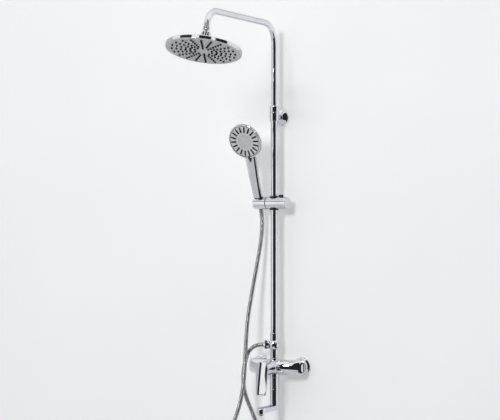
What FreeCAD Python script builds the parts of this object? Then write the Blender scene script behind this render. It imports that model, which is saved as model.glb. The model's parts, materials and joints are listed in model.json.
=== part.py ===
import FreeCAD, Part
import math
import os
import Sketcher

# Exposed shower column: wall mixer with a lever and a swivel spout, riser with a sliding handset holder,
# telescopic gooseneck with a tilting rain head, handset and hose.
# Millimetres. The wall is the plane y = 0, the front is -y, up is +z, and the origin lies on the wall
# midway between the two water inlets.

SIZES = {
    # Wall and water inlets
    "inlet_spacing": 150,
    "axis_out": 48,
    "thread_half_inch_d": 20.96,
    "thread_in_wall": 22,
    "union_d": 25.8,
    "waterway_d": 14,
    "flange_d": 60,
    "flange_depth": 11.5,
    "flange_wall": 2,
    "union_nut_d": 52,
    "union_nut_front": 24.5,
    "union_nut_back": 12.5,
    "union_collar_len": 2.3,
    "union_lip": 2,
    "washer_thick": 1.5,
    # Mixer bar
    "bar_d": 46,
    "bar_overhang": 21,
    "bar_round": 12,
    "neck_d": 43,
    "neck_out": 24,
    "top_boss_d": 27,
    "top_boss_top": 27,
    "spout_boss_d": 30,
    "spout_boss_drop": 33,
    # Cartridge and lever
    "cartridge_d": 35,
    "cartridge_seat_in": 3,
    "cartridge_front_gap": 0.3,
    "rotor_d": 20,
    "rotor_cheek": 1.3,
    "rotor_seat_back": 7,
    "pivot_out": 19,
    "pivot_pin_d": 3,
    "spindle_d": 8,
    "spindle_tail": 2,
    "spindle_out": 62,
    "cover_ball_d": 44,
    "cover_wall": 2.5,
    "cover_opening_d": 26,
    "cover_len": 12.5,
    "lever_bowl_gap": 0.8,
    "lever_rim_out": 31,
    "lever_rim_d": 44,
    "lever_root_out": 73,
    "lever_root_d": 34,
    "lever_root_drop": 5,
    "lever_top": 22,
    "lever_shoulder": 3,
    "lever_knee": 64,
    "lever_tip": 81,
    "lever_top_width": 28,
    "lever_shoulder_width": 40,
    "lever_knee_width": 36,
    "lever_tip_width": 33,
    "lever_side": 5.5,
    "lever_ridge": 4,
    "lever_lean_depth": 8,
    "grub_d": 5,
    "grub_len": 8,
    "grub_out": 54,
    "lever_plug_len": 4,
    # Spout
    "spout_d": 28,
    "spout_bottom": 137,
    "spout_foot_height": 15,
    "spout_foot_width": 26,
    "spout_reach": 84,
    "spout_foot_bore_d": 10,
    "spout_tail_d": 18,
    "spout_tail_len": 13,
    "spout_groove_width": 2.2,
    "spout_groove_depth": 1.1,
    "seal_wire_d": 1.1,
    "aerator_d": 19,
    "aerator_proud": 8,
    "aerator_in": 4,
    "aerator_core_d": 15.6,
    "aerator_core_len": 8,
    "aerator_hole_d": 2.2,
    "aerator_hole_ring": 9,
    # Column with tee and diverter collar
    "pillar_d": 24,
    "pillar_top": 55,
    "pillar_spigot_d": 17,
    "pillar_spigot_len": 7,
    "tee_d": 29,
    "tee_top": 81,
    "tee_spigot_len": 14,
    "branch_z": 70,
    "branch_turn": 65,
    "branch_d": 18,
    "branch_len": 22,
    "branch_bore_d": 11,
    "spool_d": 16.4,
    "spool_bore_d": 12,
    "spool_len": 22,
    "collar_d": 25,
    "collar_len": 25,
    "riser_d": 22,
    "riser_bore_d": 19,
    "riser_top": 810,
    # Hose and its nuts
    "hose_d": 14,
    "hose_bore_d": 10,
    "hose_nut_back": 15.7,
    "hose_nut_d": 27,
    "hose_nut_shoulder": 28,
    "hose_nut_front": 33,
    "hose_nut_front_d": 21,
    "hose_seat": 8,
    "cone_top_d": 24,
    "cone_tip_d": 18,
    "cone_top": 20,
    "cone_tip": 17,
    # Upper wall bracket and telescope clamp
    "bracket_z": 792,
    "sleeve_d": 30,
    "sleeve_half": 14,
    "sleeve_neck_d": 26,
    "sleeve_neck_len": 8,
    "post_d": 16,
    "post_back": 1,
    "anchor_thread_d": 8,
    "anchor_thread_len": 15,
    "bracket_flange_d": 52,
    "bracket_flange_depth": 13,
    "clamp_nut_d": 30,
    "clamp_nut_len": 21,
    "clamp_lip": 4,
    "collet_d": 21.2,
    # Telescopic gooseneck
    "arm_d": 18,
    "arm_bore_d": 15.6,
    "arm_foot": 560,
    "arm_z": 1084,
    "arm_bend": 60,
    "arm_reach": 406,
    "drop_bend": 60,
    "drop_lean": 11,
    "drop_len": 4,
    "guide_len": 15,
    "guide_spigot_len": 12,
    "guide_spigot_d": 15.4,
    "guide_bore_d": 12,
    "guide_groove_width": 2.2,
    "guide_groove_depth": 1.2,
    # Ball joint and rain head
    "ball_d": 18,
    "ball_neck_d": 12,
    "stud_len": 22,
    "stud_collar_d": 22,
    "stud_collar_len": 10,
    "stud_spigot_len": 8,
    "ball_seal_wall": 1.5,
    "ball_seal_top": 1,
    "ball_seal_bottom": 7.5,
    "socket_nut_d": 31,
    "socket_nut_top": 4,
    "socket_nut_len": 22,
    "socket_mouth_d": 17.2,
    "socket_boss_d": 26,
    "socket_boss_top": 1.6,
    "head_tilt": 14,
    "head_d": 224,
    "head_face_below": 53,
    "head_rim": 11.5,
    "head_wall": 2,
    "head_crown_d": 44,
    "head_crown_rise": 9,
    "head_face_thick": 2,
    "head_mat_thick": 1.5,
    "head_nozzle_d": 5.6,
    "head_nozzle_proud": 3,
    "head_nozzle_first": 22.5,
    "head_nozzle_margin": 14,
    "head_nozzle_rings": 6,
    "head_nozzle_rows": 20,
    # Slider and handset holder
    "slider_z": 519,
    "slider_d": 39,
    "slider_left": 24,
    "slider_right": 49,
    "bush_d": 27,
    "bush_half": 17,
    "end_cap_thick": 3,
    "end_cap_spigot_d": 28,
    "end_cap_spigot_len": 4,
    "button_x": 25,
    "button_width": 9,
    "button_span": 7,
    "button_proud": 7,
    "button_foot": 10,
    "button_well": 6,
    "button_spring_d": 6,
    "button_spring_bore_d": 4,
    "washer_d": 28,
    "friction_thick": 0.7,
    "holder_pin_d": 8,
    "holder_pin_in": 9,
    "holder_pin_out": 15,
    "holder_x": 53,
    "holder_end": 69,
    "holder_slot": 16,
    # Handset
    "handset_tilt": 24,
    "handle_foot_width": 30,
    "handle_foot_depth": 25,
    "handle_waist_width": 36,
    "handle_waist_depth": 22,
    "handle_neck_width": 40,
    "handle_neck_depth": 18,
    "handle_waist_drop": 124,
    "handle_neck_drop": 62,
    "handle_end_drop": 32,
    "handle_end_depth": 12,
    "handle_set_back": 5,
    "handset_bore_d": 7,
    "handset_stub_d": 16,
    "handset_stub_len": 14,
    "handset_head_height": 214,
    "handset_d": 112,
    "handset_back": 12,
    "handset_back_d": 72,
    "handset_shoulder_d": 101,
    "handset_shoulder": 4,
    "handset_front": 6,
    "handset_chamber_d": 97,
    "handset_chamber_depth": 10,
    "handset_face_d": 103,
    "handset_face_thick": 3,
    "handset_ring_len": 3.4,
    "handset_tab_len": 5,
    "handset_tab_width": 8,
    "handset_mat_thick": 2,
    "handset_nozzle_d": 4.4,
    "handset_nozzle_proud": 1.6,
    "handset_nozzle_first": 32.5,
    "handset_nozzle_margin": 2.5,
    "handset_nozzle_rings": 3,
    "handset_nozzle_rows": 18,
    # Clearances
    "moving_gap": 0.3,
    "running_gap": 0.1,
    "fixed_gap": 0.05,
    "edge_round": 1.5,
    "soft_round": 3,
}

V = FreeCAD.Vector
UP = FreeCAD.Rotation()
DOWN = FreeCAD.Rotation(V(1, 0, 0), 180)
OUT = FreeCAD.Rotation(V(1, 0, 0), 90)
INTO_WALL = FreeCAD.Rotation(V(1, 0, 0), -90)
RIGHT = FreeCAD.Rotation(V(0, 1, 0), 90)
LEFT = FreeCAD.Rotation(V(0, 1, 0), -90)

doc = FreeCAD.newDocument("shower_system")
sheet = doc.addObject("Spreadsheet::Sheet", "sizes")


class Size:
    """A size with its number now and the sheet formula that gives it."""

    def __init__(self, value, formula):
        self.value = value
        self.formula = formula

    def __add__(self, other):
        other = as_size(other)
        return Size(self.value + other.value, f"({self.formula} + {other.formula})")

    def __sub__(self, other):
        other = as_size(other)
        return Size(self.value - other.value, f"({self.formula} - {other.formula})")

    def __mul__(self, other):
        other = as_size(other)
        return Size(self.value * other.value, f"({self.formula} * {other.formula})")

    def __truediv__(self, other):
        other = as_size(other)
        return Size(self.value / other.value, f"({self.formula} / {other.formula})")

    def __neg__(self):
        return Size(-self.value, f"(0 - {self.formula})")

    def __radd__(self, other):
        return as_size(other) + self

    def __rsub__(self, other):
        return as_size(other) - self


def as_size(number):
    return number if isinstance(number, Size) else Size(float(number), f"{float(number):g}")


def sine(angle):
    return Size(math.sin(math.radians(angle.value)), f"sin({angle.formula} * 1 deg)")


def cosine(angle):
    return Size(math.cos(math.radians(angle.value)), f"cos({angle.formula} * 1 deg)")


class Sheet:
    """The driving sizes, as attributes named for their sheet aliases."""

    def __init__(self, sizes):
        for row, (alias, number) in enumerate(sizes.items(), 1):
            sheet.set(f"A{row}", alias)
            sheet.set(f"B{row}", str(number))
            sheet.setAlias(f"B{row}", alias)
            setattr(self, alias, Size(float(number), f"sizes.{alias}"))
        doc.recompute()


d = Sheet(SIZES)
AXIS = -d.axis_out


def bind(thing, prop, size):
    thing.setExpression(prop, as_size(size).formula)


def place(thing, x=0, y=0, z=0, turn=UP):
    """Puts a thing at a point whose coordinates stay tied to the sheet."""
    x, y, z = as_size(x), as_size(y), as_size(z)
    thing.Placement = FreeCAD.Placement(V(x.value, y.value, z.value), turn)
    for name, size in (("x", x), ("y", y), ("z", z)):
        bind(thing, f".Placement.Base.{name}", size)
    return thing


def plane_of(body, role):
    return next(f for f in body.Origin.OriginFeatures if f.Role == role)


def sketch_on(body, role, offset=None):
    sketch = body.newObject("Sketcher::SketchObject", f"{body.Name}_sketch")
    sketch.AttachmentSupport = [(plane_of(body, role), "")]
    sketch.MapMode = "FlatFace"
    if offset is not None:
        sketch.AttachmentOffset = FreeCAD.Placement(V(0, 0, offset.value), UP)
        bind(sketch, ".AttachmentOffset.Base.z", offset)
    return sketch


def pin_point(sketch, geometry, vertex, point):
    """Ties one vertex of a sketch to its two sheet coordinates."""
    for kind, size in zip(("DistanceX", "DistanceY"), point):
        size = as_size(size)
        index = sketch.addConstraint(Sketcher.Constraint(kind, -1, 1, geometry, vertex, size.value))
        bind(sketch, f"Constraints[{index}]", size)


def flat_point(point):
    return V(as_size(point[0]).value, as_size(point[1]).value, 0)


def add_outline(sketch, points):
    """A closed outline of straight lines with every corner tied to the sheet."""
    count = len(points)
    for index in range(count):
        ends = points[index], points[(index + 1) % count]
        sketch.addGeometry(Part.LineSegment(flat_point(ends[0]), flat_point(ends[1])), False)
    for index in range(count):
        sketch.addConstraint(Sketcher.Constraint("Coincident", index, 2, (index + 1) % count, 1))
    for index, point in enumerate(points):
        pin_point(sketch, index, 1, point)


def add_circle(sketch, x, y, radius):
    x, y, radius = as_size(x), as_size(y), as_size(radius)
    index = sketch.addGeometry(Part.Circle(V(x.value, y.value, 0), V(0, 0, 1), radius.value), False)
    pin_point(sketch, index, 3, (x, y))
    limit = sketch.addConstraint(Sketcher.Constraint("Radius", index, radius.value))
    bind(sketch, f"Constraints[{limit}]", radius)


def round_edges(body, rounds):
    """Rounds the circular edges of a turned body, each given as (radius, height, size of the round)."""
    for radius, height, size in rounds:
        doc.recompute()
        base = body.Tip
        radius, height = as_size(radius).value, as_size(height).value
        names = []
        for number, edge in enumerate(base.Shape.Edges, 1):
            if not isinstance(edge.Curve, Part.Circle):
                continue
            same_radius = abs(edge.Curve.Radius - radius) < 1e-4
            same_height = abs(edge.Curve.Center.z - height) < 1e-4
            if same_radius and same_height:
                names.append(f"Edge{number}")
        fillet = body.newObject("PartDesign::Fillet", f"{body.Name}_round")
        fillet.Base = (base, names)
        bind(fillet, "Radius", size)
        body.Tip = fillet


def turned(label, profile, at, turn=UP, rounds=()):
    """A turned piece: profile points are (radius, height) and the axis is the placed local z."""
    body = doc.addObject("PartDesign::Body", label)
    body.Label = label
    sketch = sketch_on(body, "XZ_Plane")
    add_outline(sketch, profile)
    spin = body.newObject("PartDesign::Revolution", f"{label}_turn")
    spin.Profile = sketch
    spin.ReferenceAxis = (sketch, ["V_Axis"])
    spin.Angle = 360
    round_edges(body, rounds)
    return place(body, *at, turn)


def solid_of(kind, label, at, turn, **sizes):
    thing = doc.addObject(f"Part::{kind}", label)
    thing.Label = label
    for prop, size in sizes.items():
        bind(thing, prop, size)
    return place(thing, *at, turn)


def cylinder(label, radius, height, at, turn=UP):
    return solid_of("Cylinder", label, at, turn, Radius=radius, Height=height)


def cone(label, foot_radius, top_radius, height, at, turn=UP):
    return solid_of("Cone", label, at, turn, Radius1=foot_radius, Radius2=top_radius, Height=height)


def ball(label, radius, at):
    return solid_of("Sphere", label, at, UP, Radius=radius)


def box(label, length, width, height, at, turn=UP):
    return solid_of("Box", label, at, turn, Length=length, Width=width, Height=height)


def fuse(label, *things):
    joined = doc.addObject("Part::MultiFuse", label)
    joined.Label = label
    joined.Shapes = list(things)
    joined.Refine = True
    return joined


def cut(label, base, *tools):
    """Base without the tools."""
    tool = tools[0] if len(tools) == 1 else fuse(f"{label}_tools", *tools)
    less = doc.addObject("Part::Cut", label)
    less.Label = label
    less.Base = base
    less.Tool = tool
    less.Refine = True
    return less


def common(label, first, second):
    shared = doc.addObject("Part::Common", label)
    shared.Label = label
    shared.Base = first
    shared.Tool = second
    return shared


def ring(label, inner_radius, outer_radius, foot, top, at, turn=UP, rounds=()):
    """A plain ring between two heights."""
    profile = [(inner_radius, foot), (outer_radius, foot), (outer_radius, top), (inner_radius, top)]
    return turned(label, profile, at, turn, rounds)


def torus(label, ring_radius, wire_radius, at, turn=UP):
    return solid_of("Torus", label, at, turn, Radius1=ring_radius, Radius2=wire_radius)


class Leaning:
    """A frame that leans about the x axis; its points become places in the model."""

    def __init__(self, x, y, z, lean):
        self.origin = as_size(x), as_size(y), as_size(z)
        self.lean = as_size(lean)

    def point(self, x=0, y=0, z=0):
        c, s = cosine(self.lean), sine(self.lean)
        x0, y0, z0 = self.origin
        return x0 + x, y0 + c * y - s * z, z0 + s * y + c * z

    def turn(self, more=UP):
        return FreeCAD.Rotation(V(1, 0, 0), self.lean.value).multiply(more)


def sides():
    return (("left", -1), ("right", 1))


# Wall inlets
def wall_inlets():
    """Eccentric unions, washers, union nuts and wall flanges of both inlets."""
    union_front = d.union_nut_front - d.union_lip - d.union_collar_len - d.washer_thick
    bore = d.waterway_d / 2
    for name, side in sides():
        x = d.inlet_spacing / 2 * side
        wall = d.union_d / 2
        thread = d.thread_half_inch_d / 2
        foot = -union_front
        turned(
            f"{name}_s_union",
            [
                (bore, foot),
                (wall, foot),
                (wall, 0),
                (thread, 0),
                (thread, d.thread_in_wall),
                (bore, d.thread_in_wall),
            ],
            (x, 0, 0),
            INTO_WALL,
        )
        ring(
            f"{name}_union_washer",
            bore,
            wall - d.fixed_gap,
            union_front,
            union_front + d.washer_thick,
            (x, 0, 0),
            OUT,
        )
        nut = d.union_nut_d / 2
        thread_bore = wall + d.fixed_gap
        lip_bore = wall - d.union_lip / 2
        lip = d.union_nut_front - d.union_lip
        turned(
            f"{name}_union_nut",
            [
                (thread_bore, d.union_nut_back),
                (nut, d.union_nut_back),
                (nut, d.union_nut_front),
                (lip_bore, d.union_nut_front),
                (lip_bore, lip),
                (thread_bore, lip),
            ],
            (x, 0, 0),
            OUT,
            [(nut, d.union_nut_front, d.soft_round), (nut, d.union_nut_back, d.edge_round)],
        )
        rim = d.flange_d / 2
        hole = wall + d.fixed_gap
        inner = rim - d.flange_wall
        roof = d.flange_depth - d.flange_wall
        turned(
            f"{name}_wall_flange",
            [
                (inner, 0),
                (rim, 0),
                (rim, d.flange_depth),
                (hole, d.flange_depth),
                (hole, roof),
                (inner, roof),
            ],
            (x, 0, 0),
            OUT,
            [(rim, d.flange_depth, d.flange_depth - d.flange_wall * 2)],
        )


# Mixer body
def mixer_body():
    """Cast bar with inlet tails, cartridge neck and the top and bottom outlets, bored for water."""
    half = d.inlet_spacing / 2 + d.bar_overhang
    radius = d.bar_d / 2
    bar = turned(
        "mixer_bar",
        [(0, -half), (radius, -half), (radius, half), (0, half)],
        (0, AXIS, 0),
        RIGHT,
        [(radius, -half, d.bar_round), (radius, half, d.bar_round)],
    )
    forms = [
        bar,
        cylinder("mixer_neck", d.neck_d / 2, d.neck_out, (0, AXIS, 0), OUT),
        cylinder("mixer_top_boss", d.top_boss_d / 2, d.top_boss_top, (0, AXIS, 0)),
        cylinder("mixer_spout_boss", d.spout_boss_d / 2, d.spout_boss_drop, (0, AXIS, 0), DOWN),
    ]
    bore = d.waterway_d / 2
    seat = AXIS + d.cartridge_seat_in
    tail_end = d.union_nut_front - d.union_lip - d.union_collar_len
    spout_bore = d.spout_tail_d / 2 + d.running_gap
    chamber = d.cartridge_d / 2 + d.moving_gap
    holes = [
        cylinder("cartridge_chamber", chamber, d.neck_out + d.cartridge_seat_in, (0, seat, 0), OUT),
        cylinder("cross_waterway", bore, d.inlet_spacing, (-d.inlet_spacing / 2, AXIS, 0), RIGHT),
        cylinder("top_waterway", bore, d.top_boss_top, (0, AXIS, 0)),
        cylinder("bottom_waterway", bore, d.spout_boss_drop, (0, AXIS, 0), DOWN),
        cylinder(
            "pillar_socket",
            d.pillar_spigot_d / 2 + d.fixed_gap,
            d.pillar_spigot_len,
            (0, AXIS, d.top_boss_top - d.pillar_spigot_len),
        ),
        cylinder(
            "spout_socket",
            spout_bore,
            d.spout_tail_len + d.moving_gap,
            (0, AXIS, -d.spout_boss_drop),
        ),
    ]
    for name, side in sides():
        x = d.inlet_spacing / 2 * side
        tail_radius = d.union_d / 2 - d.union_lip
        depth = d.axis_out - tail_end
        forms.append(cylinder(f"{name}_tail", tail_radius, depth, (x, AXIS, 0), INTO_WALL))
        collar_at = (x, -tail_end, 0)
        forms.append(cylinder(f"{name}_tail_collar", d.union_d / 2, d.union_collar_len, collar_at, OUT))
        holes.append(cylinder(f"{name}_inlet_waterway", bore, depth, (x, AXIS, 0), INTO_WALL))
    cut("mixer_body", fuse("mixer_casting", *forms), *holes)


# Cartridge and lever
def cartridge():
    """Ceramic cartridge with its turning rotor, lift pin and spindle, under a ball-shaped cover."""
    neck_front = AXIS - d.neck_out
    pivot = AXIS - d.pivot_out
    seat = AXIS + d.cartridge_seat_in
    radius = d.cartridge_d / 2
    length = d.neck_out + d.cartridge_seat_in - d.cartridge_front_gap
    rotor_bore = d.rotor_d / 2 + d.running_gap
    rotor_foot = d.pivot_out - d.rotor_seat_back
    floor = d.cartridge_seat_in + rotor_foot - d.running_gap
    turned(
        "cartridge_body",
        [(0, 0), (radius, 0), (radius, length), (rotor_bore, length), (rotor_bore, floor), (0, floor)],
        (0, seat, 0),
        OUT,
    )
    rotor_len = length - floor - d.running_gap - d.moving_gap
    slot_width = d.spindle_d + d.moving_gap * 2
    slot_foot = AXIS - rotor_foot - d.rotor_cheek
    rotor = cylinder("rotor_blank", d.rotor_d / 2, rotor_len, (0, AXIS - rotor_foot, 0), OUT)
    slot = box(
        "rotor_slot",
        slot_width,
        d.rotor_d,
        d.rotor_d * 2,
        (-slot_width / 2, slot_foot - d.rotor_d, -d.rotor_d),
    )
    pin_half = d.rotor_d / 2 - d.rotor_cheek
    pin_hole = cylinder("rotor_pin_hole", d.pivot_pin_d / 2, pin_half * 2, (-pin_half, pivot, 0), RIGHT)
    cut("cartridge_rotor", rotor, slot, pin_hole)
    cylinder("lift_pin", d.pivot_pin_d / 2, pin_half * 2, (-pin_half, pivot, 0), RIGHT)
    spindle_length = d.spindle_out - d.pivot_out + d.spindle_tail
    rod = cylinder("spindle_rod", d.spindle_d / 2, spindle_length, (0, pivot + d.spindle_tail, 0), OUT)
    eye = cylinder(
        "spindle_eye",
        d.pivot_pin_d / 2 + d.running_gap / 2,
        d.rotor_d,
        (-d.rotor_d / 2, pivot, 0),
        RIGHT,
    )
    cut("lever_spindle", rod, eye)
    slice_ = cylinder("cover_slice", d.cover_ball_d, d.cover_len, (0, neck_front, 0), OUT)
    dome = common("cover_dome", ball("cover_ball", d.cover_ball_d / 2, (0, pivot, 0)), slice_)
    hollow = ball("cover_hollow", d.cover_ball_d / 2 - d.cover_wall, (0, pivot, 0))
    mouth = cylinder("cover_mouth", d.cover_opening_d / 2, d.axis_out, (0, neck_front, 0), OUT)
    cut("cartridge_cover", dome, hollow, mouth)


def circle_wire(label, radius, at, turn):
    wire = doc.addObject("Part::Circle", label)
    bind(wire, "Radius", radius)
    return place(wire, *at, turn)


def ellipse_wire(label, half_width, half_depth, at, turn):
    wire = doc.addObject("Part::Ellipse", label)
    bind(wire, "MajorRadius", half_width)
    bind(wire, "MinorRadius", half_depth)
    return place(wire, *at, turn)


def loft(label, wires, ruled=False):
    skin = doc.addObject("Part::Loft", label)
    skin.Label = label
    skin.Sections = wires
    skin.Solid = True
    skin.Ruled = ruled
    return skin


def lever_blade():
    """Flat blade in front of the hub, with a crease from its top to its lower left edge."""
    body = doc.addObject("PartDesign::Body", "lever_blade")
    lean_per_drop = d.lever_lean_depth / (d.lever_tip + d.lever_top)
    sections = (
        (d.lever_top, d.lever_top_width, d.lever_top_width / -8, d.lever_ridge * 0.6),
        (d.lever_shoulder, d.lever_shoulder_width, d.lever_shoulder_width / -8, d.lever_ridge),
        (-d.lever_knee, d.lever_knee_width, d.lever_knee_width / -3, d.lever_ridge),
        (-d.lever_tip, d.lever_tip_width, d.lever_tip_width / -2.4, d.lever_ridge * 0.4),
    )
    sketches = []
    for height, width, crease_x, crease in sections:
        back = AXIS - d.lever_root_out - (d.lever_top - height) * lean_per_drop + 1
        side_y = back - d.lever_side
        points = [
            (-width / 2, back),
            (width / 2, back),
            (width / 2, side_y),
            (crease_x, side_y - crease),
            (-width / 2, side_y),
        ]
        sketch = sketch_on(body, "XY_Plane", height)
        add_outline(sketch, points)
        sketches.append(sketch)
    skin = body.newObject("PartDesign::AdditiveLoft", "lever_blade_skin")
    skin.Profile = sketches[0]
    skin.Sections = sketches[1:]
    skin.Ruled = True
    body.Tip = skin
    return body


def lever():
    """Lever handle with its hub bowl round the cover, fixing screw and the plug under it."""
    pivot = AXIS - d.pivot_out
    rim_at = (0, AXIS - d.lever_rim_out, 0)
    root_at = (0, AXIS - d.lever_root_out, -d.lever_root_drop)
    rim = circle_wire("lever_rim", d.lever_rim_d / 2, rim_at, OUT)
    root = circle_wire("lever_root", d.lever_root_d / 2, root_at, OUT)
    hub = loft("lever_hub", [rim, root], True)
    bowl = ball("lever_bowl", d.cover_ball_d / 2 + d.lever_bowl_gap, (0, pivot, 0))
    socket = cylinder(
        "lever_socket",
        d.spindle_d / 2 + d.fixed_gap,
        d.spindle_out + d.moving_gap,
        (0, AXIS, 0),
        OUT,
    )
    screw_y = AXIS - d.grub_out
    screw_bore = d.grub_d / 2 + d.fixed_gap
    screw_hole = cylinder("lever_screw_hole", screw_bore, d.lever_rim_d, (0, screw_y, 0), DOWN)
    cut("lever_handle", fuse("lever_form", hub, lever_blade()), bowl, socket, screw_hole)
    screw_top = d.spindle_d / 2 + d.fixed_gap
    cylinder("lever_grub_screw", d.grub_d / 2, d.grub_len, (0, screw_y, -screw_top), DOWN)
    plug_top = screw_top + d.grub_len + d.fixed_gap
    cylinder("lever_plug", d.grub_d / 2, d.lever_plug_len, (0, screw_y, -plug_top), DOWN)


# Spout
def spout():
    """Swivel spout: column, level foot, sealed tail in the mixer and the aerator in its end."""
    top = -d.spout_boss_drop - d.moving_gap
    bottom = -d.spout_bottom
    foot_top = d.spout_foot_height
    end_y = AXIS - d.spout_reach
    half_width = d.spout_foot_width / 2
    tail = d.spout_tail_d / 2
    bore = d.waterway_d / 2
    foot_bore = d.spout_foot_bore_d / 2
    groove = tail - d.spout_groove_depth
    tail_top = d.spout_tail_len - d.moving_gap
    groove_low = (tail_top - d.spout_groove_width) / 2
    groove_high = groove_low + d.spout_groove_width
    stem = turned(
        "spout_tail",
        [
            (0, 0),
            (tail, 0),
            (tail, groove_low),
            (groove, groove_low),
            (groove, groove_high),
            (tail, groove_high),
            (tail, tail_top),
            (0, tail_top),
        ],
        (0, AXIS, top),
    )
    radius = d.spout_d / 2
    column = turned(
        "spout_column",
        [(0, bottom), (radius, bottom), (radius, top), (0, top)],
        (0, AXIS, 0),
        UP,
        [(radius, bottom, d.soft_round)],
    )
    foot = box(
        "spout_foot",
        d.spout_foot_width,
        d.spout_reach,
        d.spout_foot_height,
        (-half_width, end_y, bottom),
    )
    end = turned(
        "spout_end",
        [(0, 0), (half_width, 0), (half_width, foot_top), (0, foot_top)],
        (0, end_y, bottom),
        UP,
        [(half_width, foot_top, d.soft_round)],
    )
    middle = bottom + d.spout_foot_height / 2
    aerator = d.aerator_d / 2
    cut(
        "spout",
        fuse("spout_form", stem, column, foot, end),
        cylinder("spout_down_bore", bore, tail_top + top - middle, (0, AXIS, middle)),
        cylinder("spout_foot_bore", foot_bore, d.spout_reach, (0, AXIS, middle), OUT),
        cylinder("aerator_seat", aerator + d.fixed_gap, d.aerator_in, (0, end_y, bottom)),
    )
    seal_z = top + (groove_low + groove_high) / 2
    seal_radius = groove + d.seal_wire_d / 2 + d.fixed_gap
    torus("spout_seal", seal_radius, d.seal_wire_d / 2, (0, AXIS, seal_z))
    core = d.aerator_core_d / 2
    ring(
        "aerator_housing",
        core + d.fixed_gap,
        aerator,
        -d.aerator_proud,
        d.aerator_in,
        (0, end_y, bottom),
        UP,
        [(aerator, -d.aerator_proud, d.edge_round / 2)],
    )
    insert = studded_disc(
        "aerator_insert",
        core,
        d.edge_round - d.aerator_proud,
        d.aerator_core_len,
        [d.aerator_hole_ring / 2],
        d.aerator_hole_d / 2,
        6,
    )
    place(insert, 0, end_y, bottom)


def studded_disc(label, radius, foot, thick, rings, stud_radius, rows, stud_len=None):
    """A disc with rows of holes round it or, where stud_len is given, rows of studs below it."""
    body = doc.addObject("PartDesign::Body", label)
    body.Label = label
    disc_sketch = sketch_on(body, "XY_Plane", foot)
    add_circle(disc_sketch, 0, 0, radius)
    disc = body.newObject("PartDesign::Pad", f"{label}_disc")
    disc.Profile = disc_sketch
    bind(disc, "Length", thick)
    doc.recompute()
    row_sketch = sketch_on(body, "XY_Plane", foot)
    for ring_radius in rings:
        add_circle(row_sketch, ring_radius, 0, stud_radius)
    if stud_len is None:
        row = body.newObject("PartDesign::Pocket", f"{label}_row")
        row.Profile = row_sketch
        row.Reversed = True
        bind(row, "Length", thick)
    else:
        row = body.newObject("PartDesign::Pad", f"{label}_row")
        row.Profile = row_sketch
        row.Reversed = True
        bind(row, "Length", stud_len)
    doc.recompute()
    pattern = body.newObject("PartDesign::PolarPattern", f"{label}_rows")
    pattern.Originals = [row]
    pattern.Axis = (plane_of(body, "Z_Axis"), [""])
    pattern.Angle = 360
    pattern.Occurrences = int(rows)
    body.Tip = pattern
    return body


def spread(first, last, count):
    """Ring radii at even steps from the first to the last."""
    steps = int(count.value) - 1
    return [first + (last - first) / steps * number for number in range(steps + 1)]


# Column
def column():
    """Pillar, tee with the hose branch, diverter spool and collar, and the riser tube."""
    bore = d.waterway_d / 2
    spigot = d.pillar_spigot_d / 2
    pillar = d.pillar_d / 2
    foot = d.top_boss_top - d.pillar_spigot_len
    turned(
        "outlet_pillar",
        [
            (bore, foot),
            (spigot, foot),
            (spigot, d.top_boss_top),
            (pillar, d.top_boss_top),
            (pillar, d.pillar_top),
            (bore, d.pillar_top),
        ],
        (0, AXIS, 0),
        UP,
        [(pillar, d.top_boss_top, d.edge_round / 2), (pillar, d.pillar_top, d.edge_round / 2)],
    )
    tee = d.tee_d / 2
    tee_spigot = d.riser_bore_d / 2 - d.fixed_gap
    spool_bore = d.spool_d / 2 + d.running_gap
    ledge = d.tee_top - d.spool_len - d.moving_gap * 2
    tee_form = turned(
        "tee_form",
        [
            (bore, d.pillar_top),
            (tee, d.pillar_top),
            (tee, d.tee_top),
            (tee_spigot, d.tee_top),
            (tee_spigot, d.tee_top + d.tee_spigot_len),
            (bore, d.tee_top + d.tee_spigot_len),
            (bore, d.tee_top),
            (spool_bore, d.tee_top),
            (spool_bore, ledge),
            (bore, ledge),
        ],
        (0, AXIS, 0),
        UP,
        [(tee, d.tee_top, d.edge_round), (tee, d.pillar_top, d.edge_round)],
    )
    branch_turn = branch_rotation()
    branch = cylinder("tee_branch", d.branch_d / 2, d.branch_len, (0, AXIS, d.branch_z), branch_turn)
    hollow = cylinder("tee_hollow", tee - d.edge_round, d.spool_len, (0, AXIS, ledge))
    outside = cut("branch_outside", branch, hollow)
    branch_at = (0, AXIS, d.branch_z)
    branch_bore = cylinder("branch_bore", d.branch_bore_d / 2, d.branch_len, branch_at, branch_turn)
    cut("diverter_tee", fuse("tee_casting", tee_form, outside), branch_bore)
    spool_form = ring(
        "spool_form",
        d.spool_bore_d / 2,
        d.spool_d / 2,
        ledge + d.moving_gap,
        d.tee_top - d.moving_gap,
        (0, AXIS, 0),
    )
    port = cylinder(
        "spool_port",
        d.branch_bore_d / 2,
        d.branch_len,
        (0, AXIS, d.branch_z),
        branch_turn,
    )
    cut("diverter_spool", spool_form, port)
    collar_foot = d.tee_top + d.moving_gap
    ring(
        "diverter_collar",
        d.riser_d / 2 + d.running_gap,
        d.collar_d / 2,
        collar_foot,
        collar_foot + d.collar_len,
        (0, AXIS, 0),
        UP,
        [
            (d.collar_d / 2, collar_foot, d.edge_round / 2),
            (d.collar_d / 2, collar_foot + d.collar_len, d.edge_round / 2),
        ],
    )
    ring("riser_tube", d.riser_bore_d / 2, d.riser_d / 2, d.tee_top, d.riser_top, (0, AXIS, 0))


def branch_rotation():
    """Turns local z to the hose branch, level and towards the front left."""
    return FreeCAD.Rotation(V(0, 0, 1), -d.branch_turn.value).multiply(OUT)


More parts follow.
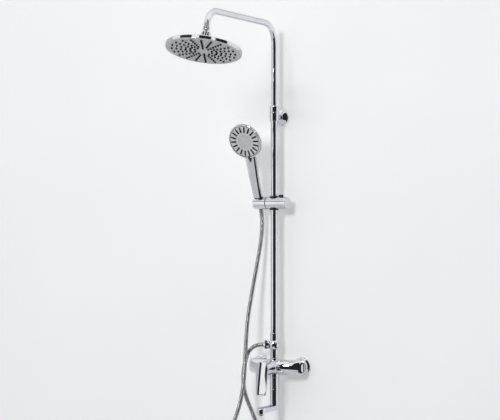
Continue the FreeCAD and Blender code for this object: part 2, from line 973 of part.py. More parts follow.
# Hose ends
def hose_ends():
    """Nut and washer at the tee, and the cone nut that sits in the handset holder."""
    at = (0, AXIS, d.branch_z)
    turn = branch_rotation()
    branch = d.branch_d / 2
    ring("hose_washer", d.branch_bore_d / 2, branch, d.branch_len, d.branch_len + d.washer_thick, at, turn)
    outer = d.hose_nut_d / 2
    thread_bore = branch + d.fixed_gap
    hose_bore = d.hose_d / 2 + d.moving_gap
    seat = d.branch_len + d.washer_thick
    turned(
        "hose_lower_nut",
        [
            (thread_bore, d.hose_nut_back),
            (outer, d.hose_nut_back),
            (outer, d.hose_nut_shoulder),
            (d.hose_nut_front_d / 2, d.hose_nut_front),
            (hose_bore, d.hose_nut_front),
            (hose_bore, seat),
            (thread_bore, seat),
        ],
        at,
        turn,
        [(outer, d.hose_nut_back, d.edge_round), (outer, d.hose_nut_shoulder, d.soft_round)],
    )
    stub = d.handset_stub_d / 2 + d.fixed_gap
    stub_foot = d.cone_top - d.handset_stub_len
    frame = handset_frame()
    turned(
        "hose_cone_nut",
        [
            (hose_bore, -d.cone_tip),
            (d.cone_tip_d / 2, -d.cone_tip),
            (d.cone_top_d / 2, d.cone_top),
            (stub, d.cone_top),
            (stub, stub_foot),
            (hose_bore, stub_foot),
        ],
        frame.point(),
        frame.turn(),
    )


def handset_frame():
    """The holder's middle, with local z along the handle."""
    return Leaning(-d.holder_x, AXIS, d.slider_z, d.handset_tilt)


# Upper bracket and telescope clamp
def upper_bracket():
    """Sleeve round the riser with its post to the wall, cup flange, and the clamp of the telescope."""
    low = d.bracket_z - d.sleeve_half
    high = d.bracket_z + d.sleeve_half
    neck_top = high + d.sleeve_neck_len
    sleeve = d.sleeve_d / 2
    neck = d.sleeve_neck_d / 2
    form = turned(
        "sleeve_form",
        [(0, low), (sleeve, low), (sleeve, high), (neck, high), (neck, neck_top), (0, neck_top)],
        (0, AXIS, 0),
        UP,
        [(sleeve, low, d.edge_round), (sleeve, high, d.edge_round / 2)],
    )
    post_len = d.axis_out - d.post_back
    post = cylinder("bracket_post", d.post_d / 2, post_len, (0, AXIS, d.bracket_z), INTO_WALL)
    bore = cylinder(
        "sleeve_bore",
        d.riser_d / 2 + d.fixed_gap,
        d.sleeve_half * 2 + d.sleeve_neck_len,
        (0, AXIS, low),
    )
    thread = cylinder(
        "anchor_thread",
        d.anchor_thread_d / 2,
        d.anchor_thread_len,
        (0, -d.post_back, d.bracket_z),
        OUT,
    )
    cut("upper_bracket", fuse("bracket_casting", form, post), bore, thread)
    rim = d.bracket_flange_d / 2
    hole = d.post_d / 2 + d.fixed_gap
    inner = rim - d.flange_wall
    roof = d.bracket_flange_depth - d.flange_wall
    turned(
        "bracket_flange",
        [
            (inner, 0),
            (rim, 0),
            (rim, d.bracket_flange_depth),
            (hole, d.bracket_flange_depth),
            (hole, roof),
            (inner, roof),
        ],
        (0, 0, d.bracket_z),
        OUT,
        [(rim, d.bracket_flange_depth, d.bracket_flange_depth - d.flange_wall * 2)],
    )
    nut_foot = high + d.moving_gap
    nut_top = nut_foot + d.clamp_nut_len
    nut = d.clamp_nut_d / 2
    neck_bore = neck + d.running_gap
    neck_room = high + d.sleeve_neck_len + d.moving_gap
    collet = d.collet_d / 2
    collet_bore = collet + d.moving_gap
    lip = nut_top - d.clamp_lip
    arm_hole = d.arm_d / 2 + d.moving_gap
    turned(
        "clamp_nut",
        [
            (neck_bore, nut_foot),
            (nut, nut_foot),
            (nut, nut_top),
            (arm_hole, nut_top),
            (arm_hole, lip),
            (collet_bore, lip),
            (collet_bore, neck_room),
            (neck_bore, neck_room),
        ],
        (0, AXIS, 0),
        UP,
        [(nut, nut_top, d.soft_round), (nut, nut_foot, d.edge_round / 2)],
    )
    ring(
        "clamp_collet",
        d.arm_d / 2 + d.running_gap,
        collet,
        d.riser_top,
        lip - d.moving_gap,
        (0, AXIS, 0),
    )


# Telescopic gooseneck
class Gooseneck:
    """The arm's path in its own plane: distance out from the riser axis, and height."""

    def __init__(self):
        lean_cos, lean_sin = cosine(d.drop_lean), sine(d.drop_lean)
        self.foot = (as_size(0), d.arm_foot)
        self.bend_foot = (as_size(0), d.arm_z - d.arm_bend)
        self.bend_end = (d.arm_bend, d.arm_z)
        self.drop_start = (d.arm_reach - d.drop_bend * lean_cos, d.arm_z)
        self.drop_end = (d.arm_reach, d.arm_z - d.drop_bend * (1 - lean_sin))
        self.end = (self.drop_end[0] + d.drop_len * lean_sin, self.drop_end[1] - d.drop_len * lean_cos)
        self.ball = (self.end[0] + d.stud_len * lean_sin, self.end[1] - d.stud_len * lean_cos)


def gooseneck():
    """Bent arm tube, with the guide and seal that carry its foot inside the riser."""
    path = Gooseneck()
    body = doc.addObject("PartDesign::Body", "gooseneck_arm")
    body.Label = "gooseneck_arm"
    spine = sketch_on(body, "YZ_Plane")
    runs = ((path.foot, path.bend_foot), (path.bend_end, path.drop_start), (path.drop_end, path.end))
    for start, end in runs:
        start, end = (-start[0], start[1]), (-end[0], end[1])
        index = spine.addGeometry(Part.LineSegment(flat_point(start), flat_point(end)), False)
        pin_point(spine, index, 1, start)
        pin_point(spine, index, 2, end)
    bends = (
        (path.bend_end[0], d.arm_bend, 0, 90, 0, 1),
        (path.drop_start[0], d.drop_bend, 90, 180 - d.drop_lean.value, 1, 2),
    )
    for out, radius, first, last, before, after in bends:
        centre = V(-out.value, (d.arm_z - radius).value, 0)
        circle = Part.Circle(centre, V(0, 0, 1), radius.value)
        arc = Part.ArcOfCircle(circle, math.radians(first), math.radians(last))
        index = spine.addGeometry(arc, False)
        spine.addConstraint(Sketcher.Constraint("Coincident", index, 1, before, 2))
        spine.addConstraint(Sketcher.Constraint("Coincident", index, 2, after, 1))
        limit = spine.addConstraint(Sketcher.Constraint("Radius", index, radius.value))
        bind(spine, f"Constraints[{limit}]", radius)
    section = sketch_on(body, "XY_Plane", d.arm_foot)
    add_circle(section, 0, 0, d.arm_d / 2)
    add_circle(section, 0, 0, d.arm_bore_d / 2)
    doc.recompute()
    pipe = body.newObject("PartDesign::AdditivePipe", "gooseneck_pipe")
    pipe.Profile = section
    pipe.Spine = (spine, ["Edge1", "Edge4", "Edge2", "Edge5", "Edge3"])
    body.Tip = pipe
    place(body, 0, AXIS, 0)
    bore = d.guide_bore_d / 2
    spigot = d.guide_spigot_d / 2
    outer = d.riser_bore_d / 2 - d.running_gap
    top = d.arm_foot - d.moving_gap
    foot = top - d.guide_len
    groove = outer - d.guide_groove_depth
    low = foot + d.guide_len / 2
    high = low + d.guide_groove_width
    turned(
        "telescope_guide",
        [
            (bore, foot),
            (outer, foot),
            (outer, low),
            (groove, low),
            (groove, high),
            (outer, high),
            (outer, top),
            (spigot, top),
            (spigot, top + d.guide_spigot_len),
            (bore, top + d.guide_spigot_len),
        ],
        (0, AXIS, 0),
    )
    seal_radius = groove + d.seal_wire_d / 2 + d.fixed_gap
    torus("telescope_seal", seal_radius, d.seal_wire_d / 2, (0, AXIS, (low + high) / 2))


# Ball joint and rain head
def stud_frame():
    path = Gooseneck()
    return Leaning(0, AXIS - path.ball[0], path.ball[1], -d.drop_lean)


def head_frame():
    path = Gooseneck()
    return Leaning(0, AXIS - path.ball[0], path.ball[1], -d.head_tilt)


def ball_joint():
    """Ball stud on the arm's end, its seal, and the nut that holds the head on the ball."""
    frame = stud_frame()
    collar_foot = d.stud_len - d.stud_collar_len
    collar = d.stud_collar_d / 2
    spigot = d.arm_bore_d / 2 - d.fixed_gap
    neck = turned(
        "stud_form",
        [
            (0, 0),
            (d.ball_neck_d / 2, 0),
            (d.ball_neck_d / 2, collar_foot),
            (collar, collar_foot),
            (collar, d.stud_len),
            (spigot, d.stud_len),
            (spigot, d.stud_len + d.stud_spigot_len),
            (0, d.stud_len + d.stud_spigot_len),
        ],
        frame.point(),
        frame.turn(),
        [(collar, collar_foot, d.edge_round), (collar, d.stud_len, d.edge_round)],
    )
    globe = ball("stud_ball", d.ball_d / 2, frame.point())
    bore = cylinder(
        "stud_bore",
        d.ball_neck_d / 4,
        d.stud_len + d.stud_spigot_len + d.ball_d,
        frame.point(0, 0, -d.ball_d / 2),
        frame.turn(),
    )
    cut("ball_stud", fuse("stud_casting", neck, globe), bore)
    head = head_frame()
    seal_inner = d.ball_d / 2 + d.fixed_gap
    seal_outer = seal_inner + d.ball_seal_wall
    zone = cylinder(
        "seal_zone",
        d.ball_d,
        d.ball_seal_bottom - d.ball_seal_top,
        head.point(0, 0, -d.ball_seal_bottom),
        head.turn(),
    )
    shell = common("seal_shell", ball("seal_ball", seal_outer, head.point()), zone)
    cut("ball_seal", shell, ball("seal_hollow", seal_inner, head.point()))
    nut = d.socket_nut_d / 2
    foot = d.socket_nut_top - d.socket_nut_len
    boss_bore = d.socket_boss_d / 2 + d.fixed_gap
    mouth = d.socket_mouth_d / 2
    form = turned(
        "socket_nut_form",
        [
            (boss_bore, foot),
            (nut, foot),
            (nut, d.socket_nut_top),
            (mouth, d.socket_nut_top),
            (mouth, d.socket_boss_top + d.fixed_gap),
            (boss_bore, d.socket_boss_top + d.fixed_gap),
        ],
        head.point(),
        head.turn(),
        [(nut, d.socket_nut_top, d.edge_round), (nut, foot, d.edge_round)],
    )
    cut("socket_nut", form, ball("nut_hollow", d.ball_d / 2 + d.running_gap, head.point()))


def rain_head():
    """Shallow chrome cover with the ball socket, the face plate and the nozzle mat behind it."""
    head = head_frame()
    rim = d.head_d / 2
    inner = rim - d.head_wall
    bottom = -d.head_face_below
    shoulder = bottom + d.head_rim
    crown = d.head_crown_d / 2
    crown_z = shoulder + d.head_crown_rise
    boss = d.socket_boss_d / 2
    form = turned(
        "cover_form",
        [
            (inner, bottom),
            (rim, bottom),
            (rim, shoulder),
            (crown, crown_z),
            (boss, crown_z),
            (boss, d.socket_boss_top),
            (0, d.socket_boss_top),
            (0, crown_z - d.head_wall),
            (crown, crown_z - d.head_wall),
            (inner, shoulder - d.head_wall),
        ],
        head.point(),
        head.turn(),
        [(rim, shoulder, d.soft_round), (rim, bottom, d.edge_round / 2)],
    )
    socket = ball(
        "cover_socket",
        d.ball_d / 2 + d.ball_seal_wall + d.fixed_gap + d.running_gap,
        head.point(),
    )
    water = cylinder(
        "cover_waterway",
        d.ball_neck_d / 4,
        d.head_face_below,
        head.point(0, 0, -d.head_face_below),
        head.turn(),
    )
    cut("head_cover", form, socket, water)
    hole = d.head_nozzle_d / 2 + d.running_gap
    face_radius = inner - d.fixed_gap
    rings = spread(d.head_nozzle_first, face_radius - d.head_nozzle_margin, d.head_nozzle_rings)
    rows = d.head_nozzle_rows.value
    face = studded_disc("head_face", face_radius, bottom, d.head_face_thick, rings, hole, rows)
    place(face, *head.point(), head.turn())
    mat_foot = bottom + d.head_face_thick
    stud_len = d.head_face_thick + d.head_nozzle_proud
    mat_radius = face_radius - d.head_wall
    stud = d.head_nozzle_d / 2
    mat = studded_disc(
        "head_nozzle_mat", mat_radius, mat_foot, d.head_mat_thick, rings, stud, rows, stud_len
    )
    place(mat, *head.point(), head.turn())


# Slider and holder
def oval(label, x, width, span, foot, top):
    """An upright oval bar on the slider's axis plane, its long way along x."""
    radius = width / 2
    height = top - foot
    return fuse(
        label,
        cylinder(f"{label}_left_end", radius, height, (x - span / 2, AXIS, d.slider_z + foot)),
        cylinder(f"{label}_right_end", radius, height, (x + span / 2, AXIS, d.slider_z + foot)),
        box(f"{label}_middle", span, width, height, (x - span / 2, AXIS - radius, d.slider_z + foot)),
    )


def slider():
    """Barrel that slides on the riser over a plastic bush, with end cap, button and friction washer."""
    at = (0, AXIS, d.slider_z)
    bush = d.bush_d / 2
    ring("slider_bush", d.riser_d / 2 + d.running_gap, bush, -d.bush_half, d.bush_half, at)
    radius = d.slider_d / 2
    cap_face = d.slider_right - d.end_cap_thick
    barrel = turned(
        "barrel_form",
        [(0, -d.slider_left), (radius, -d.slider_left), (radius, cap_face), (0, cap_face)],
        at,
        RIGHT,
        [(radius, -d.slider_left, d.edge_round / 3)],
    )
    bush_bore = cylinder(
        "bush_bore",
        bush + d.running_gap,
        d.slider_d,
        (0, AXIS, d.slider_z - radius),
    )
    cap_spigot = d.end_cap_spigot_d / 2
    cap_hole = cylinder(
        "cap_hole",
        cap_spigot + d.fixed_gap,
        d.end_cap_spigot_len + d.fixed_gap,
        (cap_face - d.end_cap_spigot_len - d.fixed_gap, AXIS, d.slider_z),
        RIGHT,
    )
    pin_hole = cylinder(
        "barrel_pin_hole",
        d.holder_pin_d / 2,
        d.holder_pin_in,
        (-d.slider_left, AXIS, d.slider_z),
        RIGHT,
    )
    well = oval(
        "button_well_form",
        d.button_x,
        d.button_width + d.moving_gap * 2,
        d.button_span,
        d.button_well,
        radius,
    )
    cut("slider_body", barrel, bush_bore, cap_hole, pin_hole, well)
    turned(
        "slider_end_cap",
        [
            (0, cap_face - d.end_cap_spigot_len),
            (cap_spigot, cap_face - d.end_cap_spigot_len),
            (cap_spigot, cap_face),
            (radius, cap_face),
            (radius, d.slider_right),
            (0, d.slider_right),
        ],
        at,
        RIGHT,
        [(radius, d.slider_right, d.edge_round / 2)],
    )
    button_top = radius + d.button_proud
    oval("release_button", d.button_x, d.button_width, d.button_span, d.button_foot, button_top)
    ring(
        "button_spring",
        d.button_spring_bore_d / 2,
        d.button_spring_d / 2,
        d.button_well,
        d.button_foot,
        (d.button_x, AXIS, d.slider_z),
    )
    washer_face = -d.slider_left
    ring(
        "friction_washer",
        d.holder_pin_d / 2 + d.fixed_gap,
        d.washer_d / 2,
        washer_face - d.friction_thick,
        washer_face,
        at,
        RIGHT,
    )
    cylinder(
        "holder_pin",
        d.holder_pin_d / 2,
        d.holder_pin_in + d.holder_pin_out,
        (-d.slider_left - d.holder_pin_out, AXIS, d.slider_z),
        RIGHT,
    )


def holder():
    """Handset holder: a barrel end that tilts on the pin, with a cone socket open at its left end."""
    at = (0, AXIS, d.slider_z)
    radius = d.slider_d / 2
    near = -d.slider_left - d.friction_thick - d.moving_gap
    barrel = turned(
        "holder_form",
        [(0, -d.holder_end), (radius, -d.holder_end), (radius, near), (0, near)],
        at,
        RIGHT,
        [(radius, -d.holder_end, d.edge_round), (radius, near, d.edge_round / 3)],
    )
    pin_hole = cylinder(
        "holder_pin_hole",
        d.holder_pin_d / 2 + d.running_gap,
        d.holder_pin_out + d.moving_gap,
        (-d.slider_left - d.holder_pin_out - d.moving_gap, AXIS, d.slider_z),
        RIGHT,
    )
    frame = handset_frame()
    slope = (d.cone_top_d - d.cone_tip_d) / 2 / (d.cone_top + d.cone_tip)
    low = -d.cone_top
    foot_radius = d.cone_tip_d / 2 + d.moving_gap + slope * (low + d.cone_tip)
    top_radius = d.cone_top_d / 2 + d.moving_gap
    socket = cone(
        "holder_socket",
        foot_radius,
        top_radius,
        d.cone_top * 2,
        frame.point(0, 0, low),
        frame.turn(),
    )
    slot = box(
        "holder_slot_form",
        d.holder_end,
        d.holder_slot,
        d.cone_top * 2,
        frame.point(-d.holder_end, -d.holder_slot / 2, low),
        frame.turn(),
    )
    cut("handset_holder", barrel, pin_hole, socket, slot)


# Handset
def handset():
    """Handset: handle flowing into a round head, spray face with nozzles, and the selector ring."""
    frame = handset_frame()
    waist_back = d.handle_set_back * 0.3
    waist_height = d.handset_head_height - d.handle_waist_drop
    neck_height = d.handset_head_height - d.handle_neck_drop
    end_height = d.handset_head_height - d.handle_end_drop
    sections = (
        ("foot", d.handle_foot_width, d.handle_foot_depth, 0, d.cone_top + d.fixed_gap),
        ("waist", d.handle_waist_width, d.handle_waist_depth, waist_back, waist_height),
        ("neck", d.handle_neck_width, d.handle_neck_depth, d.handle_set_back, neck_height),
        ("end", d.handle_neck_width, d.handle_end_depth, d.handle_set_back, end_height),
    )
    wires = []
    for name, width, depth, set_back, height in sections:
        at = frame.point(0, set_back, height)
        wires.append(ellipse_wire(f"handle_{name}", width / 2, depth / 2, at, frame.turn()))
    handle = loft("handle_form", wires)
    stub_foot = d.cone_top - d.handset_stub_len + d.fixed_gap
    stub = cylinder(
        "handset_stub",
        d.handset_stub_d / 2,
        d.handset_stub_len + d.edge_round,
        frame.point(0, 0, stub_foot),
        frame.turn(),
    )
    centre = frame.point(0, 0, d.handset_head_height)
    facing = frame.turn(OUT)
    radius = d.handset_d / 2
    head = turned(
        "handset_head_form",
        [
            (0, -d.handset_back),
            (d.handset_back_d / 2, -d.handset_back),
            (d.handset_shoulder_d / 2, -d.handset_shoulder),
            (radius, 0),
            (radius, d.handset_front),
            (0, d.handset_front),
        ],
        centre,
        facing,
        [(d.handset_back_d / 2, -d.handset_back, d.soft_round * 4)],
    )
    chamber = cylinder(
        "handset_chamber",
        d.handset_chamber_d / 2,
        d.handset_chamber_depth,
        head_point(frame, d.handset_front - d.handset_chamber_depth),
        facing,
    )
    water = cylinder(
        "handset_waterway",
        d.handset_bore_d / 2,
        end_height - d.soft_round - stub_foot,
        frame.point(0, d.handle_set_back / 3, stub_foot),
        frame.turn(),
    )
    cut("handset_body", fuse("handset_form", handle, stub, head), chamber, water)
    mat_radius = d.handset_chamber_d / 2 - d.moving_gap
    rings = spread(d.handset_nozzle_first, mat_radius - d.handset_nozzle_margin, d.handset_nozzle_rings)
    hole = d.handset_nozzle_d / 2 + d.running_gap
    face_radius = d.handset_face_d / 2
    rows = d.handset_nozzle_rows.value
    stud = d.handset_nozzle_d / 2
    stud_len = d.handset_face_thick + d.handset_nozzle_proud
    back_out = frame.turn(OUT).multiply(DOWN)
    face_front = d.handset_front + d.handset_face_thick
    face_thick = d.handset_face_thick
    face = studded_disc("handset_face", face_radius, 0 - face_front, face_thick, rings, hole, rows)
    place(face, *centre, back_out)
    mat_foot = -d.handset_front
    mat = studded_disc(
        "handset_nozzle_mat", mat_radius, mat_foot, d.handset_mat_thick, rings, stud, rows, stud_len
    )
    place(mat, *centre, back_out)
    ring_foot = d.handset_front + d.moving_gap
    ring_top = ring_foot + d.handset_ring_len
    ring_inner = face_radius + d.moving_gap
    band = ring(
        "selector_band",
        ring_inner,
        radius,
        ring_foot,
        ring_top,
        centre,
        facing,
        [(radius, ring_top, d.edge_round)],
    )
    tab = box(
        "selector_tab",
        d.handset_tab_len + d.edge_round * 2,
        d.handset_ring_len,
        d.handset_tab_width,
        frame.point(
            radius - d.edge_round * 2,
            -ring_top,
            d.handset_head_height - d.handset_tab_width / 2,
        ),
        frame.turn(),
    )
    fuse("selector_ring", band, tab)


def head_point(frame, forward):
    """A point on the handset face's axis, forward of the handle's axis."""
    return frame.point(0, -forward, d.handset_head_height)


# Hose
HOSE_POINTS = [
    (-53.2, -29.5, 452),
    (-55, -34, 400),
    (-60, -46, 340),
    (-66, -60, 275),
    (-71, -74, 211),
    (-74, -89, 148),
    (-74.5, -98, 80),
    (-76, -102, 11),
    (-80, -103, -60),
    (-90.5, -113.5, -128),
    (-106, -126, -182),
    (-120, -137, -235),
    (-128.5, -142, -284),
    (-130.4, -142.4, -330),
    (-116.2, -129.3, -364),
    (-91.7, -106.6, -383),
    (-63.3, -80.4, -383),
    (-38.8, -57.7, -364),
    (-24.6, -44.6, -330),
    (-27, -46.5, -280),
    (-40, -56.5, -225),
    (-57, -67.7, -172),
    (-72, -77.5, -128),
    (-84.5, -86, -90),
    (-89.7, -89.6, -52),
    (-88.8, -89.3, -14),
    (-83.7, -87, 14),
    (-80.7, -85.6, 28),
    (-76.2, -83.5, 43),
    (-67.8, -79.6, 55.8),
    (-56.2, -74.2, 65.1),
]


def hose():
    """Hose from the cone nut down to its hanging loop and up to the tee, with its bore."""
    frame = handset_frame()
    seat = hose_end(frame.point(0, 0, d.hose_seat - d.cone_tip))
    tee_turn = branch_rotation()
    tee_axis = V(0, AXIS.value, d.branch_z.value)
    outlet = tee_axis + tee_turn.multVec(V(0, 0, d.hose_nut_front.value - d.hose_seat.value))
    lead = tee_axis + tee_turn.multVec(V(0, 0, d.hose_nut_front.value + d.hose_d.value))
    start_lead = hose_end(frame.point(0, 0, -d.cone_tip - d.hose_d))
    points = [seat, start_lead] + [V(*p) for p in HOSE_POINTS] + [lead, outlet]
    spine, radii = rounded_path(points)
    section_area = math.pi * (d.hose_d.value**2 - d.hose_bore_d.value**2) / 4
    tube = swept_tube(spine, d.hose_d.value / 2).cut(swept_tube(spine, d.hose_bore_d.value / 2))
    thing = doc.addObject("Part::Feature", "shower_hose")
    thing.Label = "shower_hose"
    thing.Shape = tube.Solids[0] if len(tube.Solids) == 1 else tube
    thing.Placement = FreeCAD.Placement()
    print("hose length", round(spine.Length, 1), "radii", [round(r) for r in radii])
    print("hose volume", round(tube.Volume), "section times length", round(section_area * spine.Length))


def hose_end(point):
    return V(*(size.value for size in point))


def rounded_path(points):
    """Straight runs with an arc at each point, as large as the two runs beside it allow."""
    share = 0.45
    edges, radii = [], []
    start = points[0]
    for before, corner, after in zip(points, points[1:], points[2:]):
        back, ahead = before - corner, after - corner
        turn = math.pi - back.getAngle(ahead)
        reach = share * min(back.Length, ahead.Length)
        radii.append(reach / math.tan(turn / 2))
        into = corner + V(back).normalize() * reach
        out = corner + V(ahead).normalize() * reach
        bisector = (V(back).normalize() + V(ahead).normalize()).normalize()
        inset = radii[-1] * (1 / math.cos(turn / 2) - 1)
        edges.append(Part.LineSegment(start, into).toShape())
        edges.append(Part.Arc(into, corner + bisector * inset, out).toShape())
        start = out
    edges.append(Part.LineSegment(start, points[-1]).toShape())
    return Part.Wire(edges), radii


def swept_tube(spine, radius):
    start = spine.Edges[0]
    at = start.FirstParameter
    circle = Part.Circle(start.valueAt(at), start.tangentAt(at), radius)
    shell = Part.BRepOffsetAPI.MakePipeShell(spine)
    shell.add(Part.Wire([circle.toShape()]))
    shell.build()
    shell.makeSolid()
    return shell.shape()


NODES = [
    "left_wall_flange", "right_wall_flange", "left_s_union", "right_s_union",
    "left_union_nut", "right_union_nut", "left_union_washer", "right_union_washer",
    "mixer_body", "cartridge_body", "cartridge_cover", "cartridge_rotor", "lift_pin",
    "lever_spindle", "lever_handle", "lever_grub_screw", "lever_plug",
    "spout", "spout_seal", "aerator_housing", "aerator_insert",
    "outlet_pillar", "diverter_tee", "diverter_spool", "diverter_collar", "riser_tube",
    "hose_washer", "hose_lower_nut", "shower_hose", "hose_cone_nut",
    "upper_bracket", "bracket_flange", "clamp_nut", "clamp_collet",
    "gooseneck_arm", "telescope_guide", "telescope_seal",
    "ball_stud", "ball_seal", "socket_nut", "head_cover", "head_face", "head_nozzle_mat",
    "slider_bush", "slider_body", "slider_end_cap", "release_button", "button_spring",
    "friction_washer", "holder_pin", "handset_holder",
    "handset_body", "handset_face", "handset_nozzle_mat", "selector_ring",
]


def build():
    wall_inlets()
    mixer_body()
    cartridge()
    lever()
    spout()
    column()
    hose_ends()
    upper_bracket()
    gooseneck()
    ball_joint()
    rain_head()
    slider()
    holder()
    handset()
    hose()
    doc.recompute()


def check():
    """Stops where an object failed or a sub-part has no valid solid."""
    failed = [o.Name for o in doc.Objects if "Invalid" in o.State or "Error" in o.State]
    if failed:
        raise RuntimeError(f"failed objects: {failed}")
    for name in NODES:
        shape = doc.getObjectsByLabel(name)[0].Shape
        if shape.isNull() or not shape.isValid() or not shape.Solids:
            raise RuntimeError(f"{name} has no valid solid")


def write():
    os.makedirs("parts", exist_ok=True)
    for name in NODES:
        doc.getObjectsByLabel(name)[0].Shape.exportStep(f"parts/{name}.step")


build()
check()
write()
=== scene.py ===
import bmesh
import bpy
import json
import math
from mathutils import Matrix, Vector


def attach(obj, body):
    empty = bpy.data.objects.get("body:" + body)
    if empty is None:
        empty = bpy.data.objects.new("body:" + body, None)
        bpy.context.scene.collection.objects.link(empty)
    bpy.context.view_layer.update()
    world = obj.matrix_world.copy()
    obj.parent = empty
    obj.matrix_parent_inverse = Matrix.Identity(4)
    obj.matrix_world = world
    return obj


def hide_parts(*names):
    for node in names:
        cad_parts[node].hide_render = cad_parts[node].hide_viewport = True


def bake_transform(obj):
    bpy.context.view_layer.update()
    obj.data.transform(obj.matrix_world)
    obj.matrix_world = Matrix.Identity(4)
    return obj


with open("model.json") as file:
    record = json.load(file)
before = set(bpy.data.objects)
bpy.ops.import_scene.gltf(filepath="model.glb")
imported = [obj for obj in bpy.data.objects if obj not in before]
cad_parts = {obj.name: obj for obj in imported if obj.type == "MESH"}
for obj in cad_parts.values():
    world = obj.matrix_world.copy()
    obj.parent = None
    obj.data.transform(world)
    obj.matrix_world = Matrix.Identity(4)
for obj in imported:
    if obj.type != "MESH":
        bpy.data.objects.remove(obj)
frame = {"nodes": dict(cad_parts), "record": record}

# Shower column on a white wall. Metres. The wall is the plane y = 0, the room is -y, up is +z.

scene = bpy.context.scene
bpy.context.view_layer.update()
MM = 0.001


# Camera and view
SENSOR_WIDTH = 36.0
FOCAL_LENGTH = 99.4
VIEW_REACH = 50.0
CAMERA_PLACE = (2.1235, -3.8794, 0.497)
CAMERA_BEARING = 30


def photo_camera():
    """Camera level with the middle of the riser, thirty degrees to the right of square on."""
    lens = bpy.data.cameras.new("photo_camera")
    lens.sensor_width = SENSOR_WIDTH
    lens.lens = FOCAL_LENGTH
    lens.clip_end = VIEW_REACH
    camera = bpy.data.objects.new("photo_camera", lens)
    camera.location = CAMERA_PLACE
    camera.rotation_euler = (math.radians(90), 0, math.radians(CAMERA_BEARING))
    scene.collection.objects.link(camera)
    scene.camera = camera
    scene.view_settings.view_transform = "Standard"


# Finishes
NOISE_LOW, NOISE_HIGH = 0.3, 0.7
METAL_DETAIL, PLASTIC_DETAIL, WALL_DETAIL = 5.0, 6.0, 4.0
SKIN_DEPTH = 0.0002


def new_finish(name):
    material = bpy.data.materials.new(name)
    material.use_nodes = True
    tree = material.node_tree
    return material, tree, tree.nodes["Principled BSDF"]


def surface_noise(tree, scale, detail):
    """Noise fixed to the piece itself."""
    place = tree.nodes.new("ShaderNodeTexCoord")
    noise = tree.nodes.new("ShaderNodeTexNoise")
    noise.inputs["Scale"].default_value = scale
    noise.inputs["Detail"].default_value = detail
    tree.links.new(place.outputs["Object"], noise.inputs["Vector"])
    return noise.outputs["Fac"]


def shade_between(tree, amount, dark, light, low=NOISE_LOW, high=NOISE_HIGH):
    ramp = tree.nodes.new("ShaderNodeValToRGB")
    ramp.color_ramp.elements[0].position = low
    ramp.color_ramp.elements[1].position = high
    ramp.color_ramp.elements[0].color = (*dark, 1)
    ramp.color_ramp.elements[1].color = (*light, 1)
    tree.links.new(amount, ramp.inputs["Fac"])
    return ramp.outputs["Color"]


def vary(tree, amount, low, high):
    span = tree.nodes.new("ShaderNodeMapRange")
    span.inputs["From Min"].default_value = NOISE_LOW
    span.inputs["From Max"].default_value = NOISE_HIGH
    span.inputs["To Min"].default_value = low
    span.inputs["To Max"].default_value = high
    tree.links.new(amount, span.inputs["Value"])
    return span.outputs["Result"]


def relief(tree, amount, shader, strength):
    bump = tree.nodes.new("ShaderNodeBump")
    bump.inputs["Strength"].default_value = strength
    bump.inputs["Distance"].default_value = SKIN_DEPTH
    tree.links.new(amount, bump.inputs["Height"])
    tree.links.new(bump.outputs["Normal"], shader.inputs["Normal"])


def uneven(name, dark, light, rough, grain, detail):
    """A finish whose tone and polish drift a little over the surface."""
    material, tree, shader = new_finish(name)
    noise = surface_noise(tree, grain, detail)
    tree.links.new(shade_between(tree, noise, dark, light), shader.inputs["Base Color"])
    tree.links.new(vary(tree, noise, *rough), shader.inputs["Roughness"])
    return material, tree, shader, noise


def metal(name, dark, light, rough, grain, bump=0.0, edge=(1.0, 1.0, 1.0)):
    """Metal with its own tone at grazing edges."""
    material, tree, shader, noise = uneven(name, dark, light, rough, grain, METAL_DETAIL)
    shader.inputs["Specular Tint"].default_value = (*edge, 1)
    shader.inputs["Metallic"].default_value = 1.0
    if bump:
        relief(tree, noise, shader, bump)
    return material


def plastic(name, dark, light, rough, grain, bump=0.05, shine=0.5):
    """Moulded plastic, rubber or cloth with a fine skin."""
    material, tree, shader, noise = uneven(name, dark, light, rough, grain, PLASTIC_DETAIL)
    shader.inputs["Specular IOR Level"].default_value = shine
    relief(tree, noise, shader, bump)
    return material


CHROME_EDGE = (0.42, 0.42, 0.50)
CHROME = metal(
    "polished_chrome", (0.79, 0.80, 0.825), (0.86, 0.87, 0.89), (0.03, 0.055), 35, edge=CHROME_EDGE
)
CHROMED_PLASTIC = metal(
    "chromed_plastic", (0.76, 0.77, 0.795), (0.84, 0.85, 0.87), (0.06, 0.10), 30, edge=CHROME_EDGE
)
HOSE_METAL = metal("hose_metal", (0.36, 0.365, 0.38), (0.50, 0.505, 0.52), (0.18, 0.28), 220)
BRASS = metal("machined_brass", (0.62, 0.45, 0.20), (0.78, 0.60, 0.30), (0.25, 0.38), 90, 0.1)
STEEL = metal("plain_steel", (0.50, 0.51, 0.52), (0.62, 0.63, 0.64), (0.25, 0.35), 120, 0.1)
FACE_GREY = plastic("satin_grey", (0.58, 0.58, 0.575), (0.68, 0.68, 0.675), (0.32, 0.42), 160)
PALE_GREY = plastic("pale_grey_plastic", (0.68, 0.675, 0.69), (0.78, 0.775, 0.79), (0.28, 0.4), 160)
BLACK_PLASTIC = plastic("black_plastic", (0.008, 0.008, 0.009), (0.02, 0.02, 0.022), (0.25, 0.4), 300)
BLACK_RUBBER = plastic(
    "black_rubber", (0.006, 0.006, 0.007), (0.016, 0.016, 0.018), (0.5, 0.65), 400, 0.15, shine=0.15
)
WHITE_PLASTIC = plastic("white_plastic", (0.72, 0.72, 0.70), (0.82, 0.82, 0.80), (0.35, 0.5), 200)

